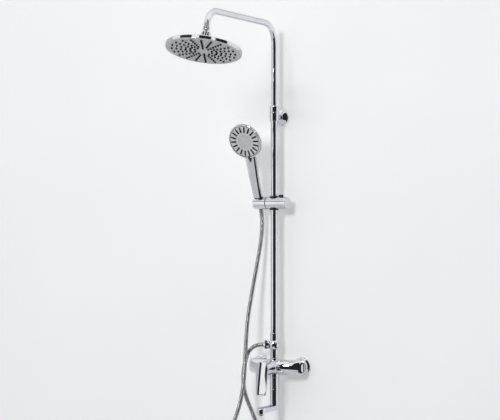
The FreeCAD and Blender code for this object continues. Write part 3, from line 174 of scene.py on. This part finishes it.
FINISH_OF_SLOT = {
    "chrome": CHROME,
    "brass": BRASS,
    "steel": STEEL,
    "hose_metal": HOSE_METAL,
    "face_grey": FACE_GREY,
    "chromed_plastic": CHROMED_PLASTIC,
    "black_plastic": BLACK_PLASTIC,
    "black_rubber": BLACK_RUBBER,
    "white_plastic": WHITE_PLASTIC,
}


def dress_nodes():
    """Gives every CAD node the finish of its material slot."""
    for entry in frame["record"]["subparts"]:
        materials = frame["nodes"][entry["node"]].data.materials
        materials.clear()
        materials.append(FINISH_OF_SLOT[entry["material_slot"]])


# Hose: each length with its end in metres along the hose and the bodies listed for it, and the hose's
# guide points in millimetres
HOSE_DIAMETER = 0.014
RIB_PITCH = 0.0026
RIB_DEPTH = 0.035
STEPS_PER_RIB = 4
BLEND_INSET = 0.004
HOSE_LENGTHS = (
    ("hose_at_handset", 0.042, ("handset", "holder")),
    ("hose_at_holder", 0.10, ("holder", "slider")),
    ("hose_at_slider", 0.19, ("slider", "carriage")),
    ("hose_fall", 0.70, ("carriage", "column")),
    ("hose_loop", None, ("column",)),
)
HOSE_ROUTE = [
    (-53, -44.34, 510.78),
    (-53, -35.39, 490.68),
    (-53.2, -29.5, 452),
    (-55, -34, 400),
    (-60, -46, 340),
    (-66, -60, 275),
    (-71, -74, 211),
    (-74, -89, 148),
    (-74.5, -98, 80),
    (-76, -102, 11),
    (-80, -103, -60),
    (-90.5, -113.5, -128),
    (-106, -126, -182),
    (-120, -137, -235),
    (-128.5, -142, -284),
    (-130.4, -142.4, -330),
    (-116.2, -129.3, -364),
    (-91.7, -106.6, -383),
    (-63.3, -80.4, -383),
    (-38.8, -57.7, -364),
    (-24.6, -44.6, -330),
    (-27, -46.5, -280),
    (-40, -56.5, -225),
    (-57, -67.7, -172),
    (-72, -77.5, -128),
    (-84.5, -86, -90),
    (-89.7, -89.6, -52),
    (-88.8, -89.3, -14),
    (-83.7, -87, 14),
    (-80.7, -85.6, 28),
    (-76.2, -83.5, 43),
    (-67.8, -79.6, 55.8),
    (-56.2, -74.2, 65.1),
    (-42.6, -67.86, 70),
    (-22.66, -58.57, 70),
]


def mesh_of(curve_object):
    scene.collection.objects.link(curve_object)
    bpy.context.view_layer.update()
    shown = curve_object.evaluated_get(bpy.context.evaluated_depsgraph_get())
    mesh = bpy.data.meshes.new_from_object(shown)
    bpy.data.objects.remove(curve_object)
    return mesh


def hose_line():
    """Points along the smooth curve that the hose hangs in."""
    curve = bpy.data.curves.new("hose_line", "CURVE")
    curve.dimensions = "3D"
    curve.resolution_u = 24
    spline = curve.splines.new("NURBS")
    spline.points.add(len(HOSE_ROUTE) - 1)
    for point, place in zip(spline.points, HOSE_ROUTE):
        point.co = (*(v * MM for v in place), 1)
    spline.order_u = 3
    spline.use_endpoint_u = True
    mesh = mesh_of(bpy.data.objects.new("hose_line", curve))
    return [v.co.copy() for v in mesh.vertices]


class Run:
    """A line of points with places read by distance along it."""

    def __init__(self, points):
        self.points = points
        self.marks = [0.0]
        for before, after in zip(points, points[1:]):
            self.marks.append(self.marks[-1] + (after - before).length)
        self.length = self.marks[-1]
        self.index = 0

    def at(self, distance):
        if distance < self.marks[self.index]:
            self.index = 0
        last = len(self.points) - 2
        while self.index < last and self.marks[self.index + 1] < distance:
            self.index += 1
        start, end = self.marks[self.index], self.marks[self.index + 1]
        share = (distance - start) / (end - start)
        return self.points[self.index].lerp(self.points[self.index + 1], min(max(share, 0.0), 1.0))


def hose_piece(name, run, start, end):
    """A length of wound metal hose, its ribs made by the swell of the tube along the line."""
    steps = int(round((end - start) / (RIB_PITCH / STEPS_PER_RIB)))
    curve = bpy.data.curves.new(name, "CURVE")
    curve.dimensions = "3D"
    curve.bevel_depth = HOSE_DIAMETER / 2
    curve.bevel_resolution = 3
    curve.use_fill_caps = True
    spline = curve.splines.new("POLY")
    spline.points.add(steps)
    path = []
    for number, point in enumerate(spline.points):
        distance = start + (end - start) * number / steps
        place = run.at(distance)
        path.append(tuple(place))
        point.co = (*place, 1)
        point.radius = 1 - RIB_DEPTH + RIB_DEPTH * math.cos(2 * math.pi * distance / RIB_PITCH)
    mesh = mesh_of(bpy.data.objects.new(name, curve))
    mesh.name = name
    mesh.materials.clear()
    mesh.materials.append(HOSE_METAL)
    for polygon in mesh.polygons:
        polygon.use_smooth = True
    made = bpy.data.objects.new(name, mesh)
    scene.collection.objects.link(made)
    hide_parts("shower_hose")
    return made, path


def hose():
    """The hose in five lengths: four stay fixed where they are made, the last hangs from the tee."""
    run = Run(hose_line())
    start = 0.0
    for name, cut, bodies in HOSE_LENGTHS:
        end = cut or run.length
        made, path = hose_piece(name, run, start, end)
        if len(bodies) == 2:
            near, far = run.at(start + BLEND_INSET), run.at(end - BLEND_INSET)
            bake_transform(made)
        else:
            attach(made, *bodies)
        start = end


# Pieces made by turning, lofting and repeating, in millimetres of a frame of their own
RISER_Y = -48
HOLDER_X = -53
INLET_X = 75
BRANCH_Z = 70
SLIDER_Z = 519
BRACKET_Z = 792
HANDSET_TILT = 24
HEAD_TILT = -14
BRANCH_TURN = -65
SHARP_ANGLE = 12


class Place:
    """Where a piece stands: an origin in the model and a turn."""

    def __init__(self, origin, turn=None):
        self.matrix = Matrix.Translation(Vector(origin) * MM) @ (turn or Matrix()) @ Matrix.Scale(MM, 4)


def turn_about(axis, degrees):
    return Matrix.Rotation(math.radians(degrees), 4, axis)


FACING_OUT = turn_about("X", 90)
HANDSET = Place((HOLDER_X, RISER_Y, SLIDER_Z), turn_about("X", HANDSET_TILT))
HANDSET_FACE = Place((HOLDER_X, -135.04, 714.5), turn_about("X", HANDSET_TILT) @ FACING_OUT)
RAIN_HEAD = Place((0, -458.96, 1009.93), turn_about("X", HEAD_TILT))
RISER = Place((0, RISER_Y, 0))
BRANCH = Place((0, RISER_Y, BRANCH_Z), turn_about("Z", BRANCH_TURN) @ FACING_OUT)
SLIDER = Place((0, RISER_Y, SLIDER_Z))
SLIDER_ACROSS = Place((0, RISER_Y, SLIDER_Z), turn_about("Y", 90))


def face_out(form):
    bmesh.ops.rotate(form, matrix=FACING_OUT.to_3x3(), cent=(0, 0, 0), verts=form.verts)


def round_off(form, geometry, size, kind, segments):
    bmesh.ops.bevel(
        form,
        geom=geometry,
        offset=size,
        offset_type="OFFSET",
        affect=kind,
        segments=segments,
        profile=0.5,
        material=-1,
        clamp_overlap=kind == "EDGES",
    )


def outline(form, points, rounds, closed):
    """A line through (radius, height) points, with some of its corners rounded."""
    verts = [form.verts.new((radius, 0, height)) for radius, height in points]
    for before, after in zip(verts, verts[1:]):
        form.edges.new((before, after))
    if closed:
        form.edges.new((verts[-1], verts[0]))
    for index, size in (rounds or {}).items():
        round_off(form, [verts[index]], size, "VERTICES", 5)


def turned(points, rounds=None, closed=False, steps=64):
    """A round piece from its half outline."""
    form = bmesh.new()
    outline(form, points, rounds, closed)
    bmesh.ops.spin(
        form,
        geom=form.verts[:] + form.edges[:],
        cent=(0, 0, 0),
        axis=(0, 0, 1),
        angle=math.tau,
        steps=steps,
        use_merge=True,
    )
    bmesh.ops.remove_doubles(form, verts=form.verts, dist=1e-4)
    bmesh.ops.recalc_face_normals(form, faces=form.faces)
    return form


def plain_ring(inner, outer, foot, end, rounds=None, steps=64):
    """A ring of square section from its foot to its end, with some of its corners rounded."""
    return turned([(inner, foot), (outer, foot), (outer, end), (inner, end)], rounds, True, steps)


def lofted(sections, edge):
    """A skin over closed sections of as many points each, ended flat, with its edges rounded."""
    form = bmesh.new()
    loops = []
    for points in sections:
        verts = [form.verts.new(point) for point in points]
        loops.append([form.edges.new((a, b)) for a, b in zip(verts, verts[1:] + verts[:1])])
    for low, high in zip(loops, loops[1:]):
        bmesh.ops.bridge_loops(form, edges=low + high)
    for ends in (loops[0], loops[-1]):
        bmesh.ops.edgeloop_fill(form, edges=ends)
    bmesh.ops.recalc_face_normals(form, faces=form.faces)
    bend = math.radians(SHARP_ANGLE)
    sharp = [e for e in form.edges if e.is_manifold and e.calc_face_angle() > bend]
    round_off(form, sharp, edge, "EDGES", 4)
    return form


def slab(half, middle, front, back, height):
    """A four-cornered section for lofting."""
    left, right = middle - half, middle + half
    return [(left, front, height), (right, front, height), (right, back, height), (left, back, height)]


def spare_mesh(form):
    part = bpy.data.meshes.new("part")
    form.to_mesh(part)
    form.free()
    return part


def gather(forms):
    """Several forms as one."""
    whole = bmesh.new()
    for form in forms:
        part = spare_mesh(form)
        whole.from_mesh(part)
        bpy.data.meshes.remove(part)
    return whole


def repeated(form, places):
    """Copies of a form at (angle in degrees, distance from the axis)."""
    part = spare_mesh(form)
    whole = bmesh.new()
    for angle, distance in places:
        before = len(whole.verts)
        whole.from_mesh(part)
        whole.verts.ensure_lookup_table()
        fresh = whole.verts[before:]
        bmesh.ops.translate(whole, vec=(distance, 0, 0), verts=fresh)
        turn = Matrix.Rotation(math.radians(angle), 3, "Z")
        bmesh.ops.rotate(whole, matrix=turn, cent=(0, 0, 0), verts=fresh)
    bpy.data.meshes.remove(part)
    return whole


def rows(count, first, gap, rings, start=0.0):
    """Places in rows that run out from the axis: the first distance, then a gap from ring to ring."""
    return [
        (start + 360 * row / count, first + gap * ring)
        for row in range(count)
        for ring in range(rings)
    ]


def piece(name, form, place, finish, body, instead=(), crease=40):
    """Sets a form in the model, smooth but for edges past the crease angle, riding on a body."""
    bmesh.ops.transform(form, matrix=place.matrix, verts=form.verts)
    mesh = bpy.data.meshes.new(name)
    form.to_mesh(mesh)
    form.free()
    mesh.materials.append(finish)
    for polygon in mesh.polygons:
        polygon.use_smooth = True
    mesh.set_sharp_from_angle(angle=math.radians(crease))
    made = bpy.data.objects.new(name, mesh)
    scene.collection.objects.link(made)
    for name_of_node in instead:
        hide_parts(name_of_node)
    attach(made, body)


# Mixer bar
BAR_RADIUS = 23
BAR_HALF_LENGTH = 99
BAR_BOW = 150
BAR_STRAIGHT = 10
BAR_END = 14
BAR_END_SHARE = 0.98
LEAST_DEPTH = 1
BAR_STATIONS = [0, 10, 20, 30, 40, 50, 60, 70, 78, 85, 88, 91, 94, 96, 97.5, 98.5, 99]


def bar_ring(form, x):
    """The ring of edges round the bar at x: flat back, bowed front, rounded at both ends."""
    bowed = max(abs(x) - BAR_STRAIGHT, 0)
    front = BAR_BOW - math.sqrt(BAR_BOW ** 2 - bowed ** 2) - BAR_RADIUS
    past = max(abs(x) - BAR_HALF_LENGTH + BAR_END, 0) / BAR_END
    drawn_in = BAR_END * (1 - math.sqrt(1 - BAR_END_SHARE * past ** 2))
    height = BAR_RADIUS - drawn_in
    middle = (BAR_RADIUS + front) / 2
    depth = max((BAR_RADIUS - front) / 2 - drawn_in, LEAST_DEPTH)
    turn = turn_about("Y", 90) @ Matrix.Diagonal((height, depth, 1, 1))
    place = Matrix.Translation((x, middle, 0))
    made = bmesh.ops.create_circle(form, cap_ends=False, radius=1, segments=64, matrix=place @ turn)
    return list({edge for vert in made["verts"] for edge in vert.link_edges})


def mixer_bar():
    """Bar whose front bows back to its ends, with the lever's neck, inlet tails and two bosses."""
    bar = bmesh.new()
    rings = [bar_ring(bar, x) for x in [-x for x in BAR_STATIONS[:0:-1]] + BAR_STATIONS]
    for before, after in zip(rings, rings[1:]):
        bmesh.ops.bridge_loops(bar, edges=before + after)
    for end in (rings[0], rings[-1]):
        bmesh.ops.edgeloop_fill(bar, edges=end)
    bmesh.ops.recalc_face_normals(bar, faces=bar.faces)
    outward = [plain_ring(18.2, 21.5, 6, 24, {2: 0.8})]
    for side in (1, -1):
        tail = plain_ring(7, 10.9, -8, -25)
        bmesh.ops.translate(tail, vec=(INLET_X * side, 0, 0), verts=tail.verts)
        outward.append(tail)
    for form in outward:
        face_out(form)
    bosses = [plain_ring(9, 13.5, 12, 27, {2: 0.6}), plain_ring(9.6, 15, -12, -33, {2: 0.6})]
    whole = gather([bar] + outward + bosses)
    piece("mixer_bar", whole, RISER, CHROME, "column", ["mixer_body"])


# Lever: its sections as height, width, where the crease runs and how far it stands out
LEVER_SECTIONS = (
    (22, 28, -3.5, 2.6),
    (3, 40, -5.0, 4.0),
    (-64, 36, -9.2, 3.4),
    (-78, 33.4, -9.8, 2.6),
    (-81, 30.8, -9.6, 2.2),
)
LEVER_TOP = 22
LEVER_LENGTH = 103
LEVER_BACK = -72
LEVER_SLOPE = 8
LEVER_EDGE = 5.5
CREASE_HALF = 2.7
CREASE_SHOULDER = 0.22
HUB_FOOT = 31
HUB_LENGTH = 42
HUB_DROP = 5
# Black sheet of painted shade in the lever's hollow back: its top and foot, its margin in from the sides,
# its depth and how far it stands proud
SHADE_SHEET_TOP, SHADE_SHEET_FOOT = -19, -79
SHADE_SHEET_MARGIN = 1.8
SHADE_SHEET_DEPTH, SHADE_SHEET_PROUD = 1, 0.35


def lever_back(height):
    return LEVER_BACK - (LEVER_TOP - height) * LEVER_SLOPE / LEVER_LENGTH


def lever():
    """Lever on its hub, with a crease down its front and a black sheet of painted shade in its hollow
    back, which the bar shows as a dark band.
    """
    hub = turned(
        [(0, 41.8), (10, 39.5), (16, 35.2), (19.4, 31), (22, 31), (17, 73.5), (0, 73.5)],
        {4: 1.2},
    )
    for vert in hub.verts:
        vert.co.y -= HUB_DROP * (vert.co.z - HUB_FOOT) / HUB_LENGTH
    face_out(hub)
    blade = []
    painted_shade_sheet = []
    for height, width, crease, ridge in LEVER_SECTIONS:
        back = lever_back(height)
        side = back - LEVER_EDGE
        half = width / 2
        blade.append(
            [
                (-half, back, height),
                (half, back, height),
                (half, side, height),
                (crease + CREASE_HALF, side - ridge * CREASE_SHOULDER, height),
                (crease - CREASE_HALF, side - ridge, height),
                (-half, side, height),
            ]
        )
        # Sections of the black sheet of painted shade behind the blade
        if height < LEVER_TOP:
            level = max(height if height < 0 else SHADE_SHEET_TOP, SHADE_SHEET_FOOT)
            near = lever_back(level)
            painted_shade_sheet.append(slab(half - SHADE_SHEET_MARGIN, 0, near - SHADE_SHEET_DEPTH, near + SHADE_SHEET_PROUD, level))
    whole = gather([hub, lofted(blade, 0.55)])
    piece("lever", whole, RISER, CHROME, "lever", ["lever_handle"], crease=15)
    # The black sheet is painted shade in the lever's shaded back, and the bar shows it as a dark band
    piece("lever_back_painted_shade", lofted(painted_shade_sheet, 0.3), RISER, BLACK_PLASTIC, "lever")


# Handset
HANDLE_CORNERS = (
    (-0.34, -1.0), (0.70, -0.98), (0.98, -0.50), (1.0, 0.15),
    (0.62, 0.88), (0.0, 1.0), (-0.62, 0.88), (-1.0, 0.15), (-0.95, -0.30),
)
SPRAY_ROWS = 18
SPRAY_FIRST, SPRAY_GAP, SPRAY_RINGS = 32.5, 6.6, 3
BAR_CORNERS = (
    (-9.3, 1.4), (-8.2, 2.5), (8.2, 2.5), (9.3, 1.4),
    (9.3, -1.4), (8.2, -2.5), (-8.2, -2.5), (-9.3, -1.4),
)
BAR_MIDDLE = 39.1
FINE_RINGS = 5
FINE_GAP = 4.4
FINE_STEP = 6
KEY_SECTIONS = (
    (2.4, 4, -10.5, -9.85, 166),
    (3.7, 4, -10.5, -9.85, 158),
    (3.7, 4, -8.5, -3, 154),
    (1.4, 3, -5.8, -3, 143),
)


def handle_section(width, depth, set_back, height):
    """Flat front with canted sides and a rounder back."""
    return [(x * (width / 2), set_back + y * (depth / 2), height) for x, y in HANDLE_CORNERS]


def handset_piece(name, form, place, finish, instead=()):
    piece(name, form, place, finish, "handset", instead)


def handset_body():
    """Handle with canted edges running into the round head."""
    handle = lofted(
        [
            handle_section(29, 24, 0, 20.1),
            handle_section(30, 25, 0, 24),
            handle_section(36, 22, 1.5, 90),
            handle_section(40, 18, 5, 152),
            handle_section(40, 12, 5, 184),
        ],
        1.6,
    )
    stub = turned([(0, 6.2), (8, 6.2), (8, 22), (0, 22)], {1: 1.0})
    handle = gather([handle, stub])
    head = turned(
        [(0, -4), (48.6, -4), (48.6, 6), (56, 6), (56, 0), (50.5, -4), (36, -12), (0, -12)],
        {3: 0.6, 5: 5, 6: 9},
        steps=96,
    )
    for name, form, place in (("handset_handle", handle, HANDSET), ("handset_head", head, HANDSET_FACE)):
        handset_piece(name, form, place, CHROMED_PLASTIC, ["handset_body"])


def handset_front():
    """Stepped face with its nozzles, the bars between them, two seals and the fine jets in the middle."""
    face = turned(
        [
            (0, 6), (51.5, 6), (51.5, 8.7), (49.6, 9.0), (29.5, 9.0),
            (28.6, 8.4), (27.6, 8.4), (26.8, 9.2), (0, 9.8),
        ],
        {2: 0.5},
        steps=96,
    )
    handset_piece("handset_face_plate", face, HANDSET_FACE, PALE_GREY, ["handset_face"])
    nub = turned([(0, 8), (2.6, 8), (2.3, 10.6), (0, 11.2)], {2: 0.7}, steps=16)
    nubs = repeated(nub, rows(SPRAY_ROWS, SPRAY_FIRST, SPRAY_GAP, SPRAY_RINGS))
    bar = lofted([[(x, y, height) for x, y in BAR_CORNERS] for height in (8, 9.7)], 0.3)
    bars = repeated(bar, rows(SPRAY_ROWS, BAR_MIDDLE, 0, 1))
    outer_seal = plain_ring(52, 56.5, 5.4, 6.25, {1: 0.3}, 96)
    inner_seal = plain_ring(50.2, 52.1, 8, 9.3, {2: 0.2}, 96)
    jet = turned([(0, 8.6), (0.85, 8.6), (0.7, 10.0), (0, 10.1)], {2: 0.2}, steps=10)
    places = [(0, 0)]
    for ring in range(1, FINE_RINGS + 1):
        places += rows(FINE_STEP * ring, FINE_GAP * ring, 0, 1)
    for name, form, instead in (
        ("handset_nozzles", gather([nubs, bars]), ["handset_nozzle_mat"]),
        ("handset_seals", gather([outer_seal, inner_seal]), ()),
        ("handset_fine_jets", repeated(jet, places), ()),
    ):
        handset_piece(name, form, HANDSET_FACE, BLACK_RUBBER, instead)


def handset_trim():
    """Black key at the neck of the handle, and the band round its foot."""
    key = lofted([slab(*section) for section in KEY_SECTIONS], 0.3)
    handset_piece("handset_key", key, HANDSET, BLACK_PLASTIC)
    band = lofted([handle_section(31, 26, 0, height) for height in (19.7, 22.6)], 0.5)
    handset_piece("handset_foot_band", band, HANDSET, BLACK_RUBBER)


# Rain head
RAIN_ROWS = 20
RAIN_FIRST, RAIN_GAP, RAIN_RINGS = 39.4, 13.4, 5
RAIN_START = 9
INNER_DISTANCE = 26


def rain_head():
    """Face plate with a shallow step at its rim, and soft nozzles in rows of five and six by turns."""
    face = turned(
        [(0, -51), (109.9, -51), (109.9, -53), (105, -53), (103.5, -52.5), (0, -52.5)],
        {2: 0.4},
        steps=128,
    )
    piece("rain_face_plate", face, RAIN_HEAD, FACE_GREY, "rain_head", ["head_face"])
    nub = turned([(0, -51.5), (3.3, -51.5), (2.8, -56.0), (0, -56.8)], {2: 0.9}, steps=16)
    places = rows(RAIN_ROWS, RAIN_FIRST, RAIN_GAP, RAIN_RINGS, RAIN_START)
    places += rows(RAIN_ROWS // 2, INNER_DISTANCE, 0, 1, RAIN_START)
    nubs = repeated(nub, places)
    piece("rain_nozzles", nubs, RAIN_HEAD, BLACK_RUBBER, "rain_head", ["head_nozzle_mat"])


# Slider and fittings
LIP_OUTLINE = ((11.15, 15), (13.2, 15), (13.2, 19.8), (14.8, 19.8), (14.8, 22.2), (11.15, 22.2))
ROSETTE_OUTLINE = (
    (12.95, 9.5), (12.95, 11.5), (18, 11.5), (27.4, 5.6), (30, 3.2),
    (30, 0), (28, 0), (27, 4), (17.6, 9.5),
)
CUP_OUTLINE = ((8.1, 11), (8.1, 13), (11.5, 13), (22.5, 6), (26, 3), (26, 0), (24, 0), (22, 4), (11, 11))
SWELL_OUTLINE = ((12.1, 54.4), (13.4, 55.4), (17.6, 61.4), (17.6, 76.6), (13.4, 82.6), (12.1, 83.6))
SKIRT_OUTLINE = ((9.7, 0.5), (12.6, 0.5), (12.6, -3.4), (9.7, -5.2))
AERATOR = Place((0, -132, -137))


def slider_details():
    """Lips of the black bush round the riser, and the dark seam between slider and holder."""
    lips = [
        turned([(radius, height * side) for radius, height in LIP_OUTLINE], {4: 0.9}, True, 48)
        for side in (1, -1)
    ]
    piece("bush_lips", gather(lips), SLIDER, BLACK_PLASTIC, "carriage")
    seam = plain_ring(14.2, 19.65, -24.7, -22.6)
    piece("holder_seam", seam, SLIDER_ACROSS, BLACK_RUBBER, "slider")


def fitting_details():
    """Ring on the hose nut, swollen tee, wall rosettes, and the skirt round the aerator."""
    ring = plain_ring(12, 13.9, 22.8, 28.4, {1: 0.5, 2: 0.5}, 48)
    piece("hose_nut_ring", ring, BRANCH, BLACK_RUBBER, "column")
    swell = turned(SWELL_OUTLINE, {1: 0.8, 2: 5.5, 3: 5.5, 4: 0.8}, True)
    piece("tee_swell", swell, RISER, CHROME, "column")
    for side, x in (("left", -INLET_X), ("right", INLET_X)):
        rosette = turned(ROSETTE_OUTLINE, {2: 1.6, 3: 2.5, 4: 1.2}, True, 96)
        place = Place((x, 0, 0), FACING_OUT)
        piece(f"{side}_rosette", rosette, place, CHROME, "column", [f"{side}_wall_flange"])
    cup = turned(CUP_OUTLINE, {2: 1.2, 3: 3, 4: 1.2}, True, 96)
    place = Place((0, 0, BRACKET_Z), FACING_OUT)
    piece("bracket_rosette", cup, place, CHROME, "column", ["bracket_flange"])
    skirt = turned(SKIRT_OUTLINE, {2: 1.4, 3: 0.5}, True, 48)
    piece("aerator_skirt", skirt, AERATOR, CHROME, "swivel_spout")


# Wall, which ends not far to the right so that the rain head's rim shows the dark cloth past it
WALL_SIZE = (25.7, 6)
WALL_MIDDLE = (-11.15, 0.001, 0.6)
WALL_GRAIN = 3.0
WALL_LIFT = 0.23


def stage_object(name, form, finish, in_view):
    mesh = bpy.data.meshes.new(name)
    form.to_mesh(mesh)
    form.free()
    mesh.materials.append(finish)
    made = bpy.data.objects.new(name, mesh)
    made.visible_camera = in_view
    scene.collection.objects.link(made)


def wall_finish():
    """Pale wall, a little brighter to the eye than the lamp makes it, and clear from behind."""
    material, tree, shader = new_finish("pale_wall")
    noise = surface_noise(tree, WALL_GRAIN, WALL_DETAIL)
    pale = shade_between(tree, noise, (0.885, 0.888, 0.892), (0.905, 0.908, 0.912))
    tree.links.new(pale, shader.inputs["Base Color"])
    shader.inputs["Roughness"].default_value = 0.7
    shader.inputs["Specular IOR Level"].default_value = 0.1
    path = tree.nodes.new("ShaderNodeLightPath")
    seen = path.outputs["Is Camera Ray"]
    for kind in ("Is Glossy Ray", "Is Transmission Ray"):
        most = tree.nodes.new("ShaderNodeMath")
        most.operation = "MAXIMUM"
        tree.links.new(seen, most.inputs[0])
        tree.links.new(path.outputs[kind], most.inputs[1])
        seen = most.outputs["Value"]
    lift = tree.nodes.new("ShaderNodeMath")
    lift.operation = "MULTIPLY"
    lift.inputs[1].default_value = WALL_LIFT
    tree.links.new(seen, lift.inputs[0])
    tree.links.new(pale, shader.inputs["Emission Color"])
    tree.links.new(lift.outputs["Value"], shader.inputs["Emission Strength"])
    clear = tree.nodes.new("ShaderNodeBsdfTransparent")
    mix = tree.nodes.new("ShaderNodeMixShader")
    facing = tree.nodes.new("ShaderNodeNewGeometry")
    tree.links.new(facing.outputs["Backfacing"], mix.inputs["Fac"])
    tree.links.new(shader.outputs["BSDF"], mix.inputs[1])
    tree.links.new(clear.outputs["BSDF"], mix.inputs[2])
    tree.links.new(mix.outputs["Shader"], tree.nodes["Material Output"].inputs["Surface"])
    return material


def wall():
    form = bmesh.new()
    bmesh.ops.create_grid(form, x_segments=1, y_segments=1, size=0.5)
    bmesh.ops.scale(form, vec=(*WALL_SIZE, 1), verts=form.verts)
    face_out(form)
    bmesh.ops.translate(form, vec=WALL_MIDDLE, verts=form.verts)
    stage_object("wall", form, wall_finish(), True)


# Screens round the room: bearings from square on, then heights, in degrees
DARK_SCREENS = (
    ((-14, 84), (-6, 20)),
    ((-26, 84), (-25, -6)),
    ((40, 104), (-46, -25)),
    ((-50, -8), (25, 36)),
    ((16, 55), (20, 52)),
    ((-18, -8), (20, 50)),
    ((68, 112), (5, 34)),
)
PALE_SCREEN = ((-112, -44), (-34, 22))
SCREEN_DISTANCE = 20.0
ROOM_MIDDLE = Vector((0, -0.1, 0.5))
CLOTH_ROUGH = (0.8, 0.95)
CLOTH_GRAIN = 2


def between(ends, share):
    return math.radians(ends[0] + (ends[1] - ends[0]) * share)


def screens():
    """Far-off cloths: the dark ones show as black bands in the chrome, the pale one as a bright side."""
    dark = plastic("dark_cloth", (0.010, 0.011, 0.015), (0.014, 0.015, 0.020), CLOTH_ROUGH, CLOTH_GRAIN)
    pale = plastic("pale_cloth", (0.84, 0.84, 0.87), (0.90, 0.90, 0.93), CLOTH_ROUGH, CLOTH_GRAIN)
    cloths = [(dark, *screen) for screen in DARK_SCREENS] + [(pale, *PALE_SCREEN)]
    for number, (cloth, bearings, heights) in enumerate(cloths, 1):
        form = bmesh.new()
        bmesh.ops.create_grid(form, x_segments=16, y_segments=6, size=0.5)
        for vert in form.verts:
            bearing = between(bearings, vert.co.x + 0.5)
            height = between(heights, vert.co.y + 0.5)
            level = Vector((math.sin(bearing), -math.cos(bearing), 0)) * math.cos(height)
            vert.co = ROOM_MIDDLE + SCREEN_DISTANCE * (level + Vector((0, 0, math.sin(height))))
        stage_object(f"dark_screen_{number}", form, cloth, False)


# Light
ROOM_LOW = (0.58, 0.585, 0.605)
ROOM_HIGH = (0.96, 0.965, 0.975)
GREY_BELOW, PALE_ABOVE = -34, -6
KEY_PLACE = Vector((0.1, -4.2, 2.0))
KEY_AIM = Vector((-0.1, 0, 0.5))
KEY_SIZE = 0.9
KEY_POWER = 68


def pale_room():
    """Pale room all round, greyer low down."""
    world = bpy.data.worlds.new("studio")
    scene.world = world
    world.use_nodes = True
    tree = world.node_tree
    way = tree.nodes.new("ShaderNodeTexCoord")
    parts = tree.nodes.new("ShaderNodeSeparateXYZ")
    tree.links.new(way.outputs["Generated"], parts.inputs["Vector"])
    rise = tree.nodes.new("ShaderNodeMapRange")
    rise.interpolation_type = "SMOOTHSTEP"
    rise.inputs["From Min"].default_value = math.sin(math.radians(GREY_BELOW))
    rise.inputs["From Max"].default_value = math.sin(math.radians(PALE_ABOVE))
    tree.links.new(parts.outputs["Z"], rise.inputs["Value"])
    room = shade_between(tree, rise.outputs["Result"], ROOM_LOW, ROOM_HIGH, 0.0, 1.0)
    tree.links.new(room, tree.nodes["Background"].inputs["Color"])


def key_light():
    """Soft lamp in front of the column, a little above it."""
    lamp = bpy.data.lights.new("key", "AREA")
    lamp.shape = "RECTANGLE"
    lamp.size = lamp.size_y = KEY_SIZE
    lamp.energy = KEY_POWER
    light = bpy.data.objects.new("key", lamp)
    light.location = KEY_PLACE
    light.rotation_euler = (KEY_AIM - KEY_PLACE).to_track_quat("-Z", "Y").to_euler()
    scene.collection.objects.link(light)


photo_camera()
dress_nodes()
hose()
mixer_bar()
lever()
handset_body()
handset_front()
handset_trim()
rain_head()
slider_details()
fitting_details()
wall()
screens()
pale_room()
key_light()
